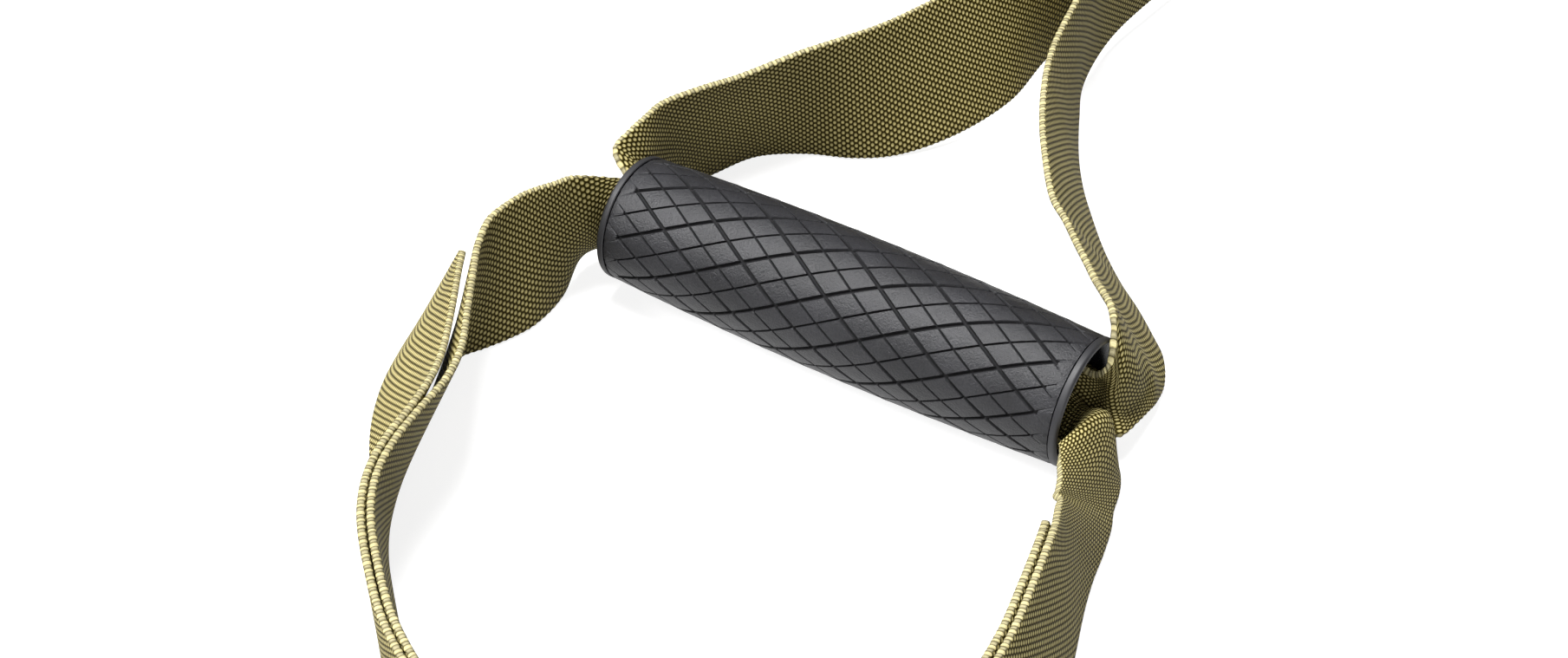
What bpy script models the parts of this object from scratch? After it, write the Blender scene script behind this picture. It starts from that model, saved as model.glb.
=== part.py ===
"""Suspension trainer: two handles on adjustable straps, joined by an anchor ring and a carabiner.

The trainer lies on a floor at z = 0. The left handle, its straps and its cam buckle are modelled once, and
the right ones are the same turned half round about the anchor ring's centre, which is the origin. It is drawn
in metres, with +Z up.
"""

import math

import bmesh
import bpy
from mathutils import Matrix, Vector

# Clearances and floor
fit_gap = 0.0003
spring_gap = 0.0003
layer_gap = 0.0003
cut_overrun = 0.002
weld_distance = 0.00001
edge_weld_distance = 0.00003
route_unit = 0.001

# Webbing
webbing_width = 0.038
webbing_thickness = 0.0018
anchor_webbing_width = 0.025

# Grip
grip_length = 0.127
grip_end_radius = 0.016
grip_crown = 0.0015
grip_bore_radius = 0.0125
core_wall = 0.0012
cap_flange = 0.0032
cap_spigot = 0.008
mouth_flare = 0.0026
lip_rounding = 0.0008
ring_groove_depth = 0.0005
ring_groove_width = 0.0006
ring_groove_inset = 0.0012
grip_centre_x = -0.285
grip_centre_y = -0.049
grip_turn = math.radians(-32.26)
drawn_half_length = 0.0635

# Straps inside the bore
cradle_bore_radius = 0.0085
handle_bore_radius = 0.0112
cradle_angle_far = math.radians(-80)
cradle_angle_near = math.radians(-150)
handle_angle_far = math.radians(95)
handle_angle_near = math.radians(105)
cradle_bore_inset = 0.024
handle_bore_inset = 0.024

# Link ring and the sewn apex of the handle strap
link_wire = 0.005
link_side_clearance = 0.001
link_span = 0.026
link_corner = 0.003
apex_x = 0.1395
apex_y = 0.205
apex_turn = math.radians(48)
apex_sewn_length = 0.040
apex_neck = 0.008
apex_tail_inset = 0.006

# Main strap and its roll
main_sewn_length = 0.035
roll_core_radius = 0.007
roll_gap = 0.0005
roll_turns = 4
roll_points = 16
twist_rows = 8
lift_fade_rows = 4
roll_far_angle = math.radians(-90)
roll_centre_y = 0.197

# Anchor ring and straps
anchor_wire = 0.006
anchor_side_clearance = 0.001
anchor_corner = 0.0035
buckle_strap_length = 0.060
anchor_strap_length = 0.050

# Cam buckle, measured along the strap from its rear edge
buckle_length = 0.048
buckle_side_clearance = 0.001
cheek_thickness = 0.003
cheek_rear_height = 0.0115
cheek_front_height = 0.008
cheek_crown_radius = 0.0065
cheek_crown_start = math.radians(20)
cheek_crown_span = math.radians(140)
rear_bar_wire = 0.005
rear_bar_place = 0.006
anvil_start = 0.020
anvil_thickness = 0.0025
bridge_place = 0.0185
bridge_width = 0.004
bridge_height = 0.0028
bridge_level = 0.0135
cam_pin_place = 0.033
cam_pin_level = 0.0142
cam_pin_radius = 0.002
cam_pin_head_radius = 0.0033
cam_pin_head = 0.0012
cam_side_clearance = 0.0006
cam_lever_length = 0.026
cam_lever_thickness = 0.0026
cam_lever_tilt = math.radians(24)
cam_back_start = math.radians(55)
cam_back_span = math.radians(125)
cam_tooth_start = math.radians(215)
cam_tooth_span = math.radians(75)
cam_hub_radius = 0.0058
cam_tooth = 0.0011
cam_teeth = 6
cam_slot_width = 0.0092
cam_spring_wire = 0.0008
cam_spring_curls = 6
cam_spring_leg = 0.0085
tail_end = 0.040
pull_tab_length = 0.026
pull_tab_thickness = 0.0022
pull_tab_inset = 0.002
pull_tab_corner = 0.005

# Carabiner
carabiner_rod = 0.010
carabiner_length = 0.096
carabiner_width = 0.054
carabiner_small_corner = 0.009
carabiner_large_corner = 0.018
gate_rod = 0.009
gate_hinge_place = 0.020
gate_nose_stub = 0.0035
gate_nose_gap = 0.0005
gate_rear = 0.0026
gate_pin_radius = 0.0011
tongue_thickness = 0.003
tongue_width = 0.0064
tongue_set_back = 0.0062
gate_bore_radius = 0.0029
gate_bore_share = 7 / 11
plunger_radius = 0.0022
plunger_length = 0.006
plunger_head = 0.0012
gate_spring_wire = 0.0006
gate_spring_curls = 9

# Curve and turning resolution
turn_steps = 24
small_turn_steps = 16
wire_steps = 8
eye_count = 7
short_eye_count = 9
webbing_strips = 5
rod_bevel = 3
corner_points = 4
carabiner_corner_points = 6

# Routes beside the grip, chosen by hand, in route units from the grip's centre. A standing row gives the lower
# edge's x and y and the upper edge's x and y.
near_leg_route = [
    (89, 146, 88, 146.5), (74, 126.5, 73, 127), (65, 107, 66, 108), (63, 94, 59.5, 94), (61.8, 79.5, 53.5, 80),
    (61.8, 66, 50.2, 67), (63.3, 51.6, 48.2, 51), (65.2, 39, 47.9, 38), (68.3, 26.4, 48.7, 23),
    (71.5, 16.9, 51.2, 14.6), (74.1, 7.2, 53.2, 6.3), (75.8, -0.7, 54.9, -0.6), (75.1, -9.5, 56.2, -8.2),
]
far_leg_route = [
    (-35.3, 72.4, -36.9, 61.6), (-24, 80, -27, 67.5), (-10, 81.5, -12, 75.5), (3, 79.5, 0, 82),
    (14, 80.5, 9, 88.5), (29, 86.5, 21, 97.5), (45, 100, 37, 109), (57, 119, 54, 122), (81, 145, 79, 147),
]

# The foot cradle's loop: out of the near mouth, round the loop, and back into the far mouth. Both layers follow
# the middle table, one on each side of it.
cradle_leg_route = [(60.5, -46.5, 43.3, -69.3), (58.7, -52, 42.3, -73)]
near_side_route = [(56.6, -57, 41.7, -76)]
loop_route = [
    (54, -65, 41, -80.5), (51.2, -72.3, 40.2, -85), (48.5, -81, 39.5, -89), (45.2, -94.5, 37.7, -95),
    (41.8, -108, 33.5, -106.5), (36.5, -124, 27.7, -121), (25.7, -141, 18.7, -137), (9, -158, 5, -153),
    (-13, -169, -13, -165),
    (-38, -171, -38, -168), (-63, -160, -61, -158), (-83, -141.5, -81, -140.5), (-95, -120, -94, -120),
    (-99, -101, -100.5, -101), (-102, -86, -103.5, -86), (-105.2, -75, -103.2, -75), (-107.2, -65, -100.6, -65),
    (-107.8, -54.5, -96.5, -54.5), (-107.2, -43, -91.8, -43), (-105.3, -33, -89.6, -33),
    (-102.6, -21.5, -89.2, -21.5), (-99.3, -9, -88.9, -9),
]
far_side_route = [
    (-97, 0.7, -88.5, 0.7), (-90.5, 4.8, -86.5, 9.5), (-84.6, 8.4, -83, 15), (-78.8, 13.4, -78.5, 19.5),
]
flared_end_route = [
    (-110.5, -43, -94.4, -43), (-112.5, -33, -93, -33), (-113.2, -21.5, -92.4, -21), (-112, -9, -92, -10),
    (-109.5, 1, -91.8, -5), (-105.7, 13, -91.5, 1.5),
]

# Rows at the grip's far mouth: the strip's middle x, y and z, the lean of its upper edge in x and y, and the curl
# of its section in degrees.
handle_far_mouth = [
    (-50.2, 43.7, 17.3, 0, -4, 105), (-49, 48, 18, 0, -8, 65), (-47.5, 53, 18.5, -1, -9.5, 35),
    (-44, 59.5, 19, -3, -11, 15),
]
cradle_far_mouth = [(-71, 22, 19, 0.7, -2, 12), (-64.8, 26.3, 18.6, 2, -12, 65)]

# Rows where the strips leave the near mouth, folded: five points across each, from the lower edge to the upper one
handle_knuckle = [
    ((72, -17.8, 2.7), (70.3, -18.2, 11), (66, -18, 19.7), (61.7, -17.2, 28.2), (57.3, -16.6, 36.5)),
    ((69.7, -22.3, 4), (68.7, -20.3, 8.5), (65.5, -25.2, 19.5), (62.1, -23.2, 28.5), (58.3, -20.8, 37)),
    ((66.5, -28.3, 6), (65, -25.5, 9.5), (62.7, -28.7, 20.3), (60.9, -27.9, 28.5), (58.8, -24.9, 36)),
    ((64.2, -32, 7), (62.8, -28.5, 10), (61.2, -29.6, 19.3), (60.2, -28.6, 26), (59, -27, 32.5)),
    ((61.4, -35, 8), (60.6, -30.2, 10.5), (59.8, -29.8, 16.5), (59.3, -30.1, 22), (58.3, -30.3, 27.3)),
    ((53, -32.3, 6.9), (55.6, -28, 8.7), (57.6, -25, 13), (57.2, -25.5, 18.5), (55.2, -28.7, 21.9)),
    ((45.6, -29.9, 6.5), (49, -24.4, 7.8), (51.4, -20.6, 12.5), (51.7, -20.2, 19), (49.8, -23.2, 22.5)),
]
cradle_crest = [
    ((48.5, -21.6, 15.1), (46.5, -24.6, 11.1), (42.7, -30.8, 9.7), (39.9, -35.2, 12.5), (39.2, -36.4, 18.7)),
    ((54.3, -29.3, 11.2), (52.8, -31.6, 13.1), (50.2, -36.3, 13), (47.9, -40.4, 10.7), (47, -44.1, 14.3)),
    ((57.4, -34.8, 11.6), (58, -35.8, 15.6), (54.7, -39.4, 18.1), (50.2, -45.3, 19.5), (45.8, -51.1, 20.5)),
    ((60.6, -39.4, 3), (59.2, -41.2, 10), (55.5, -44.9, 15.5), (49.8, -52.2, 19.5), (44.6, -57.9, 23)),
    ((61.3, -42.2, 0.5), (57.7, -47.4, 7.6), (53.4, -52.9, 14), (48.8, -58.4, 19.3), (44.3, -63.4, 24)),
]


# Values worked out from the sizes above
grip_height = grip_end_radius + grip_crown
grip_centre = Vector((grip_centre_x, grip_centre_y, grip_height))
grip_ground = Vector((grip_centre_x, grip_centre_y, 0))
along = Vector((math.cos(grip_turn), math.sin(grip_turn), 0))
behind = Vector((-math.sin(grip_turn), math.cos(grip_turn), 0))
upright = Vector((0, 0, 1))
core_radius = grip_bore_radius + core_wall
sleeve_length = grip_length - 2 * (cap_flange + fit_gap)
layer_pitch = webbing_thickness + layer_gap
link_lift = link_wire + link_side_clearance
link_eye_radius = link_wire / 2 + fit_gap + webbing_thickness / 2
link_height = webbing_width + 2 * link_side_clearance + link_wire
apex_along = Vector((math.cos(apex_turn), math.sin(apex_turn), 0))
apex_left = Vector((-math.sin(apex_turn), math.cos(apex_turn), 0))
link_bar = Vector((grip_centre_x + apex_x, grip_centre_y + apex_y, 0))
main_bar = link_bar + apex_along * link_span
roll_pitch = webbing_thickness + roll_gap
roll_radius = roll_core_radius + 2 * roll_pitch * roll_turns
roll_centre = Vector((-roll_radius, roll_centre_y, 0))
anchor_bar_place = webbing_width / 2 + anchor_side_clearance + anchor_wire / 2
buckle_half_width = webbing_width / 2 + buckle_side_clearance
cam_half_width = buckle_half_width - cam_side_clearance
buckle_start = anchor_bar_place + buckle_strap_length - rear_bar_place
rear_bar_level = rear_bar_wire / 2 + fit_gap + webbing_thickness
strap_level_in_buckle = anvil_thickness + fit_gap + webbing_thickness / 2
carabiner_level = carabiner_rod / 2 + fit_gap + webbing_thickness
carabiner_start = anchor_bar_place + anchor_strap_length
gate_side = (carabiner_width - carabiner_rod) / 2
gate_nose_place = carabiner_length - carabiner_rod - carabiner_large_corner - gate_nose_stub
gate_length = gate_nose_place - gate_nose_gap - gate_hinge_place
gate_bore_end = gate_length * gate_bore_share


def make_collection(name):
    """Add a collection to the scene."""
    collection = bpy.data.collections.new(name)
    bpy.context.scene.collection.children.link(collection)
    return collection


def make_material(name, colour, roughness, metallic):
    """Add a Principled material."""
    material = bpy.data.materials.new(name)
    material.use_nodes = True
    shader = material.node_tree.nodes["Principled BSDF"]
    shader.inputs["Base Color"].default_value = (*colour, 1)
    shader.inputs["Roughness"].default_value = roughness
    shader.inputs["Metallic"].default_value = metallic
    return material


def clear_scene():
    """Remove whatever the scene holds."""
    for item in list(bpy.data.objects):
        bpy.data.objects.remove(item, do_unlink=True)


def make_empty(name, collection, parent=None, location=(0, 0, 0), rotation=(0, 0, 0)):
    """Add an empty that carries other objects."""
    empty = bpy.data.objects.new(name, None)
    empty.location = location
    empty.rotation_euler = rotation
    empty.parent = parent
    collection.objects.link(empty)
    return empty


def make_object(name, data, collection, material, parent=None, location=(0, 0, 0), rotation=(0, 0, 0)):
    """Add a mesh or curve object under a parent."""
    item = bpy.data.objects.new(name, data)
    if material:
        data.materials.append(material)
    item.location = location
    item.rotation_euler = rotation
    item.parent = parent
    collection.objects.link(item)
    return item


def make_mesh(name, points, faces, flat_angle=math.radians(35)):
    """Make a mesh with its faces pointing out."""
    mesh = bpy.data.meshes.new(name)
    mesh.from_pydata([tuple(point) for point in points], [], faces)
    shape = bmesh.new()
    shape.from_mesh(mesh)
    bmesh.ops.recalc_face_normals(shape, faces=shape.faces)
    shape.to_mesh(mesh)
    shape.free()
    mesh.shade_smooth()
    mesh.set_sharp_from_angle(angle=flat_angle)
    return mesh


def box_mesh(name, low, high):
    """A box between two corners."""
    low = Vector(low)
    high = Vector(high)
    shape = bmesh.new()
    size = high - low
    place = Matrix.Translation((low + high) / 2) @ Matrix.Diagonal((*size, 1))
    bmesh.ops.create_cube(shape, size=1, matrix=place)
    mesh = bpy.data.meshes.new(name)
    shape.to_mesh(mesh)
    shape.free()
    return mesh


def rod_mesh(name, radius, start, end, steps):
    """A round rod between two points."""
    start = Vector(start)
    end = Vector(end)
    run = end - start
    turn = run.to_track_quat("Z", "Y").to_matrix().to_4x4()
    shape = bmesh.new()
    place = Matrix.Translation((start + end) / 2) @ turn
    bmesh.ops.create_cone(shape, cap_ends=True, segments=steps, radius1=radius, radius2=radius,
                          depth=run.length, matrix=place)
    mesh = bpy.data.meshes.new(name)
    shape.to_mesh(mesh)
    shape.free()
    mesh.shade_smooth()
    mesh.set_sharp_from_angle(angle=math.radians(40))
    return mesh


def turned(name, profile, steps, collection, material, parent, location=(0, 0, 0), rotation=(0, 0, 0),
           ring=True):
    """Turn a profile of (radius, height) points about Z, its outer side listed from the top down.

    A ring's profile is closed, and any other one starts and ends on the axis.
    """
    mesh = bpy.data.meshes.new(name)
    count = len(profile)
    edges = [(index, (index + 1) % count) for index in range(count if ring else count - 1)]
    mesh.from_pydata([(radius, 0, height) for radius, height in profile], edges, [])
    item = make_object(name, mesh, collection, material, parent, location, rotation)
    screw = item.modifiers.new("turn", "SCREW")
    screw.axis = "Z"
    screw.steps = steps
    screw.render_steps = steps
    screw.use_merge_vertices = True
    screw.merge_threshold = weld_distance
    screw.use_smooth_shade = True
    return item


def cut(item, cutter, operation="DIFFERENCE"):
    """Cut a shape with another, or join it on."""
    modifier = item.modifiers.new(operation.lower(), "BOOLEAN")
    modifier.operation = operation
    modifier.solver = "EXACT"
    modifier.object = cutter


def hide_cutter(item):
    """Mark a shape as a cutter."""
    item.hide_render = True
    item.display_type = "WIRE"
    return item


def make_cutter(name, mesh, tools, parent):
    """Add a cutter to the cutters' collection."""
    return hide_cutter(make_object(name, mesh, tools, None, parent))


def rounded_loop(half_width, half_height, radii, points):
    """Points round a rectangle whose four corners, from the first quadrant on, have the radii given."""
    corners = [(1, 1), (-1, 1), (-1, -1), (1, -1)]
    loop = []
    for index, (sign_x, sign_y) in enumerate(corners):
        radius = radii[index]
        centre = (sign_x * (half_width - radius), sign_y * (half_height - radius))
        start = index * math.pi / 2
        for step in range(points):
            angle = start + (math.pi / 2) * step / (points - 1)
            loop.append((centre[0] + radius * math.cos(angle), centre[1] + radius * math.sin(angle)))
    return loop


def wire_curve(name, points, radius, bevel, cyclic=False):
    """A round wire along points."""
    curve = bpy.data.curves.new(name, "CURVE")
    curve.dimensions = "3D"
    curve.bevel_depth = radius
    curve.bevel_resolution = bevel
    curve.use_fill_caps = not cyclic
    spline = curve.splines.new("POLY")
    spline.points.add(len(points) - 1)
    for place, point in zip(spline.points, points):
        place.co = (*point, 1)
    spline.use_cyclic_u = cyclic
    spline.use_smooth = True
    return curve


def outline_curve(name, loops, half_thickness):
    """A flat outline, with any holes, given thickness both ways along its Z."""
    curve = bpy.data.curves.new(name, "CURVE")
    curve.dimensions = "2D"
    curve.fill_mode = "BOTH"
    curve.extrude = half_thickness
    for loop in loops:
        spline = curve.splines.new("POLY")
        spline.points.add(len(loop) - 1)
        for place, point in zip(spline.points, loop):
            place.co = (point[0], point[1], 0, 1)
        spline.use_cyclic_u = True
    return curve


def curve_to_mesh(item, weld):
    """Turn a curve object into a closed mesh object of the same name."""
    bpy.context.view_layer.update()
    graph = bpy.context.evaluated_depsgraph_get()
    mesh = bpy.data.meshes.new_from_object(item.evaluated_get(graph))
    shape = bmesh.new()
    shape.from_mesh(mesh)
    bmesh.ops.remove_doubles(shape, verts=shape.verts, dist=weld)
    bmesh.ops.recalc_face_normals(shape, faces=shape.faces)
    shape.to_mesh(mesh)
    shape.free()
    name = item.name
    collection = item.users_collection[0]
    parent = item.parent
    location = item.location.copy()
    rotation = item.rotation_euler.copy()
    bpy.data.objects.remove(item, do_unlink=True)
    solid = make_object(name, mesh, collection, None, parent, location, rotation)
    solid.name = name
    return solid


# Webbing: a strip lofted through rows, each a centre, the direction across it, and the curl of its section or else
# the points that its section is drawn through
def row_faces(rows):
    """The direction that each row's face points in."""
    last = len(rows) - 1
    faces = []
    for index, (_, across, _) in enumerate(rows):
        run = rows[min(index + 1, last)][0] - rows[max(index - 1, 0)][0]
        faces.append(across.cross(run).normalized())
    return faces


def drawn_point(points, share):
    """A place on a smooth curve through a few points, and the curve's direction there."""
    place = share * (len(points) - 1)
    low = min(int(place), len(points) - 2)
    rest = place - low
    before = points[low - 1] if low else points[0] * 2 - points[1]
    after = points[low + 2] if low + 2 < len(points) else points[-1] * 2 - points[-2]
    first_slope = (points[low + 1] - before) / 2
    last_slope = (after - points[low]) / 2
    first, last = points[low], points[low + 1]
    bend = 3 * (last - first) - 2 * first_slope - last_slope
    twist = first_slope + last_slope - 2 * (last - first)
    point = first + first_slope * rest + bend * rest ** 2 + twist * rest ** 3
    return point, first_slope + 2 * bend * rest + 3 * twist * rest ** 2


def drawn_section(row, face, strips):
    """The two edges' worth of points of a section drawn through points of its own."""
    _, across, drawn = row
    run = face.cross(across)
    upper = []
    lower = []
    for index in range(strips + 1):
        point, direction = drawn_point(drawn, index / strips)
        outward = direction.cross(run).normalized()
        upper.append(point + outward * webbing_thickness / 2)
        lower.append(point - outward * webbing_thickness / 2)
    return upper + lower[::-1]


def section_points(row, face, width, strips):
    """The two edges' worth of points of one section: its outer face, then its inner face back again."""
    centre, across, curl = row
    if isinstance(curl, list):
        return drawn_section(row, face, strips)
    upper = []
    lower = []
    for index in range(strips + 1):
        share = index / strips - 1 / 2
        angle = curl * share
        if abs(curl) < math.radians(1):
            point = centre + across * width * share
        else:
            radius = width / curl
            point = centre + face * radius * (1 - math.cos(angle)) + across * radius * math.sin(angle)
        outward = face * math.cos(angle) - across * math.sin(angle)
        upper.append(point + outward * webbing_thickness / 2)
        lower.append(point - outward * webbing_thickness / 2)
    return upper + lower[::-1]


def webbing_mesh(name, rows, width=webbing_width, strips=1, closed=False):
    """Loft a webbing strip through its rows."""
    points = []
    faces = []
    directions = row_faces(rows)
    if closed:
        directions[0] = rows[0][1].cross(rows[1][0] - rows[-1][0]).normalized()
        directions[-1] = rows[-1][1].cross(rows[0][0] - rows[-2][0]).normalized()
    for row, face in zip(rows, directions):
        points.extend(section_points(row, face, width, strips))
    ring = 2 * (strips + 1)
    spans = len(rows) if closed else len(rows) - 1
    for index in range(spans):
        start = index * ring
        following = ((index + 1) % len(rows)) * ring
        for corner in range(ring):
            other = (corner + 1) % ring
            quad = (start + corner, start + other, following + other, following + corner)
            if corner <= strips:
                faces += [quad[:3], (quad[0], quad[2], quad[3])]
            else:
                faces += [(quad[0], quad[1], quad[3]), quad[1:]]
    if not closed:
        for start in (0, (len(rows) - 1) * ring):
            for strip in range(strips):
                opposite = start + ring - strip - 1
                faces.append((start + strip, start + strip + 1, opposite - 1, opposite))
    return make_mesh(name, points, faces)


def lean_across(lean):
    """The direction across a strip whose upper edge leans over by the offset given."""
    rise = math.sqrt(max(webbing_width ** 2 - lean.length ** 2, 0))
    return Vector((lean.x, lean.y, rise)) / webbing_width


def shift_place(place, sign):
    """Move a place that was drawn beside one end of the grip along with that end."""
    return place + grip_ground + along * sign * (grip_length / 2 - drawn_half_length)


def rail_station(entry, lift=0, sign=0):
    """A station that stands on its lower edge at the lift given."""
    low_x, low_y, high_x, high_y = entry
    across = lean_across(Vector((high_x - low_x, high_y - low_y, 0)) * route_unit)
    middle = Vector(((low_x + high_x) / 2, (low_y + high_y) / 2, 0)) * route_unit
    place = shift_place(middle, sign) if sign else middle + grip_ground
    level = across.z * webbing_width / 2 + math.hypot(across.x, across.y) * webbing_thickness / 2
    return place + upright * (lift + level), across, 0.0


def mouth_station(entry, sign):
    """A station at one of the grip's mouths."""
    middle_x, middle_y, middle_z, lean_x, lean_y, curl = entry
    across = lean_across(Vector((lean_x, lean_y, 0)) * route_unit)
    place = Vector((middle_x, middle_y, middle_z)) * route_unit
    return shift_place(place, sign), across, math.radians(curl)


def folded_station(entry):
    """A station whose section is drawn point by point where the strip leaves the near mouth."""
    drawn = [shift_place(Vector(point) * route_unit, 1) for point in entry]
    return drawn[len(drawn) // 2], (drawn[-1] - drawn[0]).normalized(), drawn


def bore_station(place, angle, radius, facing):
    """A station inside the bore: the strip lies curled against the wall at an angle from the top."""
    outward = upright * math.cos(angle) + behind * math.sin(angle)
    across = (upright * math.sin(angle) - behind * math.cos(angle)) * facing
    return grip_centre + along * place + outward * radius, across, webbing_width / radius


def bore_stations(far_angle, near_angle, radius, facing, inset, count):
    """Stations through the bore, from the far mouth to the inset from the near one."""
    reach = grip_length / 2
    stations = []
    for index in range(count):
        share = index / (count - 1)
        angle = far_angle + (near_angle - far_angle) * share
        place = (grip_length - inset) * share - reach
        stations.append(bore_station(place, angle, radius, facing))
    return stations


def flat_station(point, lift=0):
    """A station where the strip stands straight up on edge."""
    return Vector((point.x, point.y, lift + webbing_width / 2)), upright.copy(), 0.0


def eye_points(bar, direction, left, radius, count):
    """Points round a bar, from the left side over the end to the right side."""
    points = []
    for index in range(count):
        angle = math.pi * index / (count - 1)
        points.append(bar + left * radius * math.cos(angle) + direction * radius * math.sin(angle))
    return points


def handle_strap_rows():
    """The handle strap: sewn tail, eye, near leg, bore, far leg and sewn end."""
    eye_centre = link_bar
    neck = eye_centre - apex_along * apex_neck + apex_left * layer_pitch / 2
    start = neck - apex_along * apex_sewn_length
    rows = [flat_station(start + apex_along * apex_tail_inset, link_lift), flat_station(neck, link_lift)]
    eye = eye_points(eye_centre, apex_along, apex_left, link_eye_radius, eye_count)
    rows += [flat_station(point, link_lift) for point in eye]
    near_layer = -apex_left * layer_pitch
    rows += [flat_station(neck + near_layer, link_lift), flat_station(start + near_layer, link_lift)]
    lifts = [link_lift * max(1 - index / lift_fade_rows, 0) for index in range(len(near_leg_route))]
    far_lifts = lifts[:len(far_leg_route)][::-1]
    near = [rail_station(entry, lift, 1) for entry, lift in zip(near_leg_route, lifts)]
    near += [folded_station(entry) for entry in handle_knuckle]
    bore = bore_stations(handle_angle_far, handle_angle_near, handle_bore_radius, 1, handle_bore_inset, 5)[::-1]
    far = [mouth_station(entry, -1) for entry in handle_far_mouth]
    far += [rail_station(entry, lift, -1) for entry, lift in zip(far_leg_route, far_lifts)]
    far_layer = apex_left * layer_pitch
    end = neck + far_layer - apex_along * apex_tail_inset
    return rows + near + bore + far + [flat_station(start + far_layer, link_lift), flat_station(end, link_lift)]


def side_layer(rows, shift):
    """A layer of webbing beside a route, shifted level along its faces."""
    shifted = []
    for (centre, across, curl), face in zip(rows, row_faces(rows)):
        level_face = Vector((face.x, face.y, 0))
        shifted.append((centre + level_face * shift / level_face.length_squared, across, curl))
    return shifted


def cradle_rows():
    """The foot cradle: inner layer, bore, outer layer and its flared end."""
    loop = [rail_station(entry) for entry in near_side_route + loop_route + far_side_route]
    outer = side_layer(loop, layer_pitch / 2)
    inner = side_layer(loop, -layer_pitch / 2)
    far_mouth = [mouth_station(entry, -1) for entry in cradle_far_mouth]
    near_mouth = [folded_station(entry) for entry in cradle_crest]
    near_mouth += [rail_station(entry, 0, 1) for entry in cradle_leg_route]
    bore = bore_stations(cradle_angle_far, cradle_angle_near, cradle_bore_radius, -1, cradle_bore_inset, 5)
    flared = [rail_station(entry) for entry in flared_end_route]
    kept = len(near_side_route) + len(loop_route) - 4
    return inner[3:] + far_mouth + bore + near_mouth + outer[:kept] + flared


def twist_station(share, start, end):
    """A station of the main strap between standing on edge and lying flat."""
    angle = share ** 2 * (3 - 2 * share) * math.pi / 2
    across = upright * math.cos(angle) - Vector((1, 0, 0)) * math.sin(angle)
    level = webbing_width / 2 * math.cos(angle) + webbing_thickness / 2 * math.sin(angle)
    point = start.lerp(end, share)
    point.z = level + (strap_level_in_buckle - webbing_thickness / 2) * share
    return point, across, 0.0


def roll_point(turned_by, phase):
    """A point of one strand of the roll, which winds clockwise outwards."""
    radius = roll_core_radius + 2 * roll_pitch * turned_by / (2 * math.pi)
    angle = phase - turned_by
    return roll_centre + Vector((math.cos(angle), math.sin(angle), 0)) * radius


def roll_strand(phase, end_angle):
    """Points of one strand from its inner end out to the angle where it leaves."""
    whole = 2 * math.pi * roll_turns
    excess = (end_angle - phase) % (2 * math.pi)
    total = whole - excess if excess > 0 else whole
    step = 2 * math.pi / roll_points
    count = int(total / step + 1 / 2)
    turns = [index * step for index in range(count) if index * step < total - step / 2] + [total]
    return [roll_point(turn, phase) for turn in turns]


def roll_heart():
    """Points of the fold in the middle of the roll, from the left strand's inner end to the right one's."""
    half = roll_core_radius / 2
    angles = [math.pi * index / 4 for index in range(1, 4)]
    arc = [Vector((math.cos(angle), math.sin(angle), 0)) * half for angle in angles]
    first = [roll_centre - Vector((half, 0, 0)) - point for point in arc]
    second = [roll_centre + Vector((half - point.x, point.y, 0)) for point in arc]
    return first + [roll_centre.copy()] + second


def main_strap_rows():
    """The main strap: sewn eye on the link ring, roll, twist, cam buckle and free end."""
    left_strand = roll_strand(math.pi, roll_far_angle)
    right_strand = roll_strand(0, 0)
    leave = left_strand[-1]
    toward = Vector((leave.x - main_bar.x, leave.y - main_bar.y, 0)).normalized()
    side = Vector((-toward.y, toward.x, 0))
    near = main_bar + toward * apex_neck
    sewn = near + toward * main_sewn_length
    upper_layer = side * layer_pitch / 2
    rows = [flat_station(sewn + upper_layer, link_lift), flat_station(near + upper_layer, link_lift)]
    eye = eye_points(main_bar, -toward, side, link_eye_radius, eye_count)
    rows += [flat_station(point, link_lift) for point in eye]
    rows += [flat_station(near - upper_layer, link_lift), flat_station(sewn - upper_layer, link_lift)]
    rows += [flat_station(point) for point in left_strand[::-1] + roll_heart() + right_strand]
    twist_start = Vector((0, roll_centre_y - webbing_width / 4, 0))
    twist_end = Vector((0, buckle_start + buckle_length, 0))
    shares = [(index + 1) / twist_rows for index in range(twist_rows)]
    rows += [twist_station(share, twist_start, twist_end) for share in shares]
    return rows + tail_rows()


def tail_rows():
    """The main strap's rows in the buckle, over its rear bar and along the free end."""
    across = Vector((-1, 0, 0))
    over = rear_bar_level + rear_bar_wire / 2 + 2 * fit_gap + webbing_thickness * 3 / 2
    rest = 2 * layer_pitch + webbing_thickness / 2
    bar_place = buckle_start + rear_bar_place
    near = over - layer_gap
    profile = [
        (buckle_start + anvil_start, strap_level_in_buckle),
        (bar_place + 2 * rear_bar_wire, (strap_level_in_buckle + over) / 2),
        (bar_place + rear_bar_wire, near), (bar_place, over), (bar_place - rear_bar_wire, near),
        (bar_place - 2 * rear_bar_wire, (over + rest) / 2), (bar_place - 3 * rear_bar_wire, rest),
        (tail_end, rest),
    ]
    return [(Vector((0, place, level)), across, 0.0) for place, level in profile]


def leave_angle(radius, run, rise):
    """The angle on an eye where a strip leaves it straight for a point at the offset given."""
    return math.atan2(rise, run) + math.acos(radius / math.hypot(run, rise))


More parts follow.
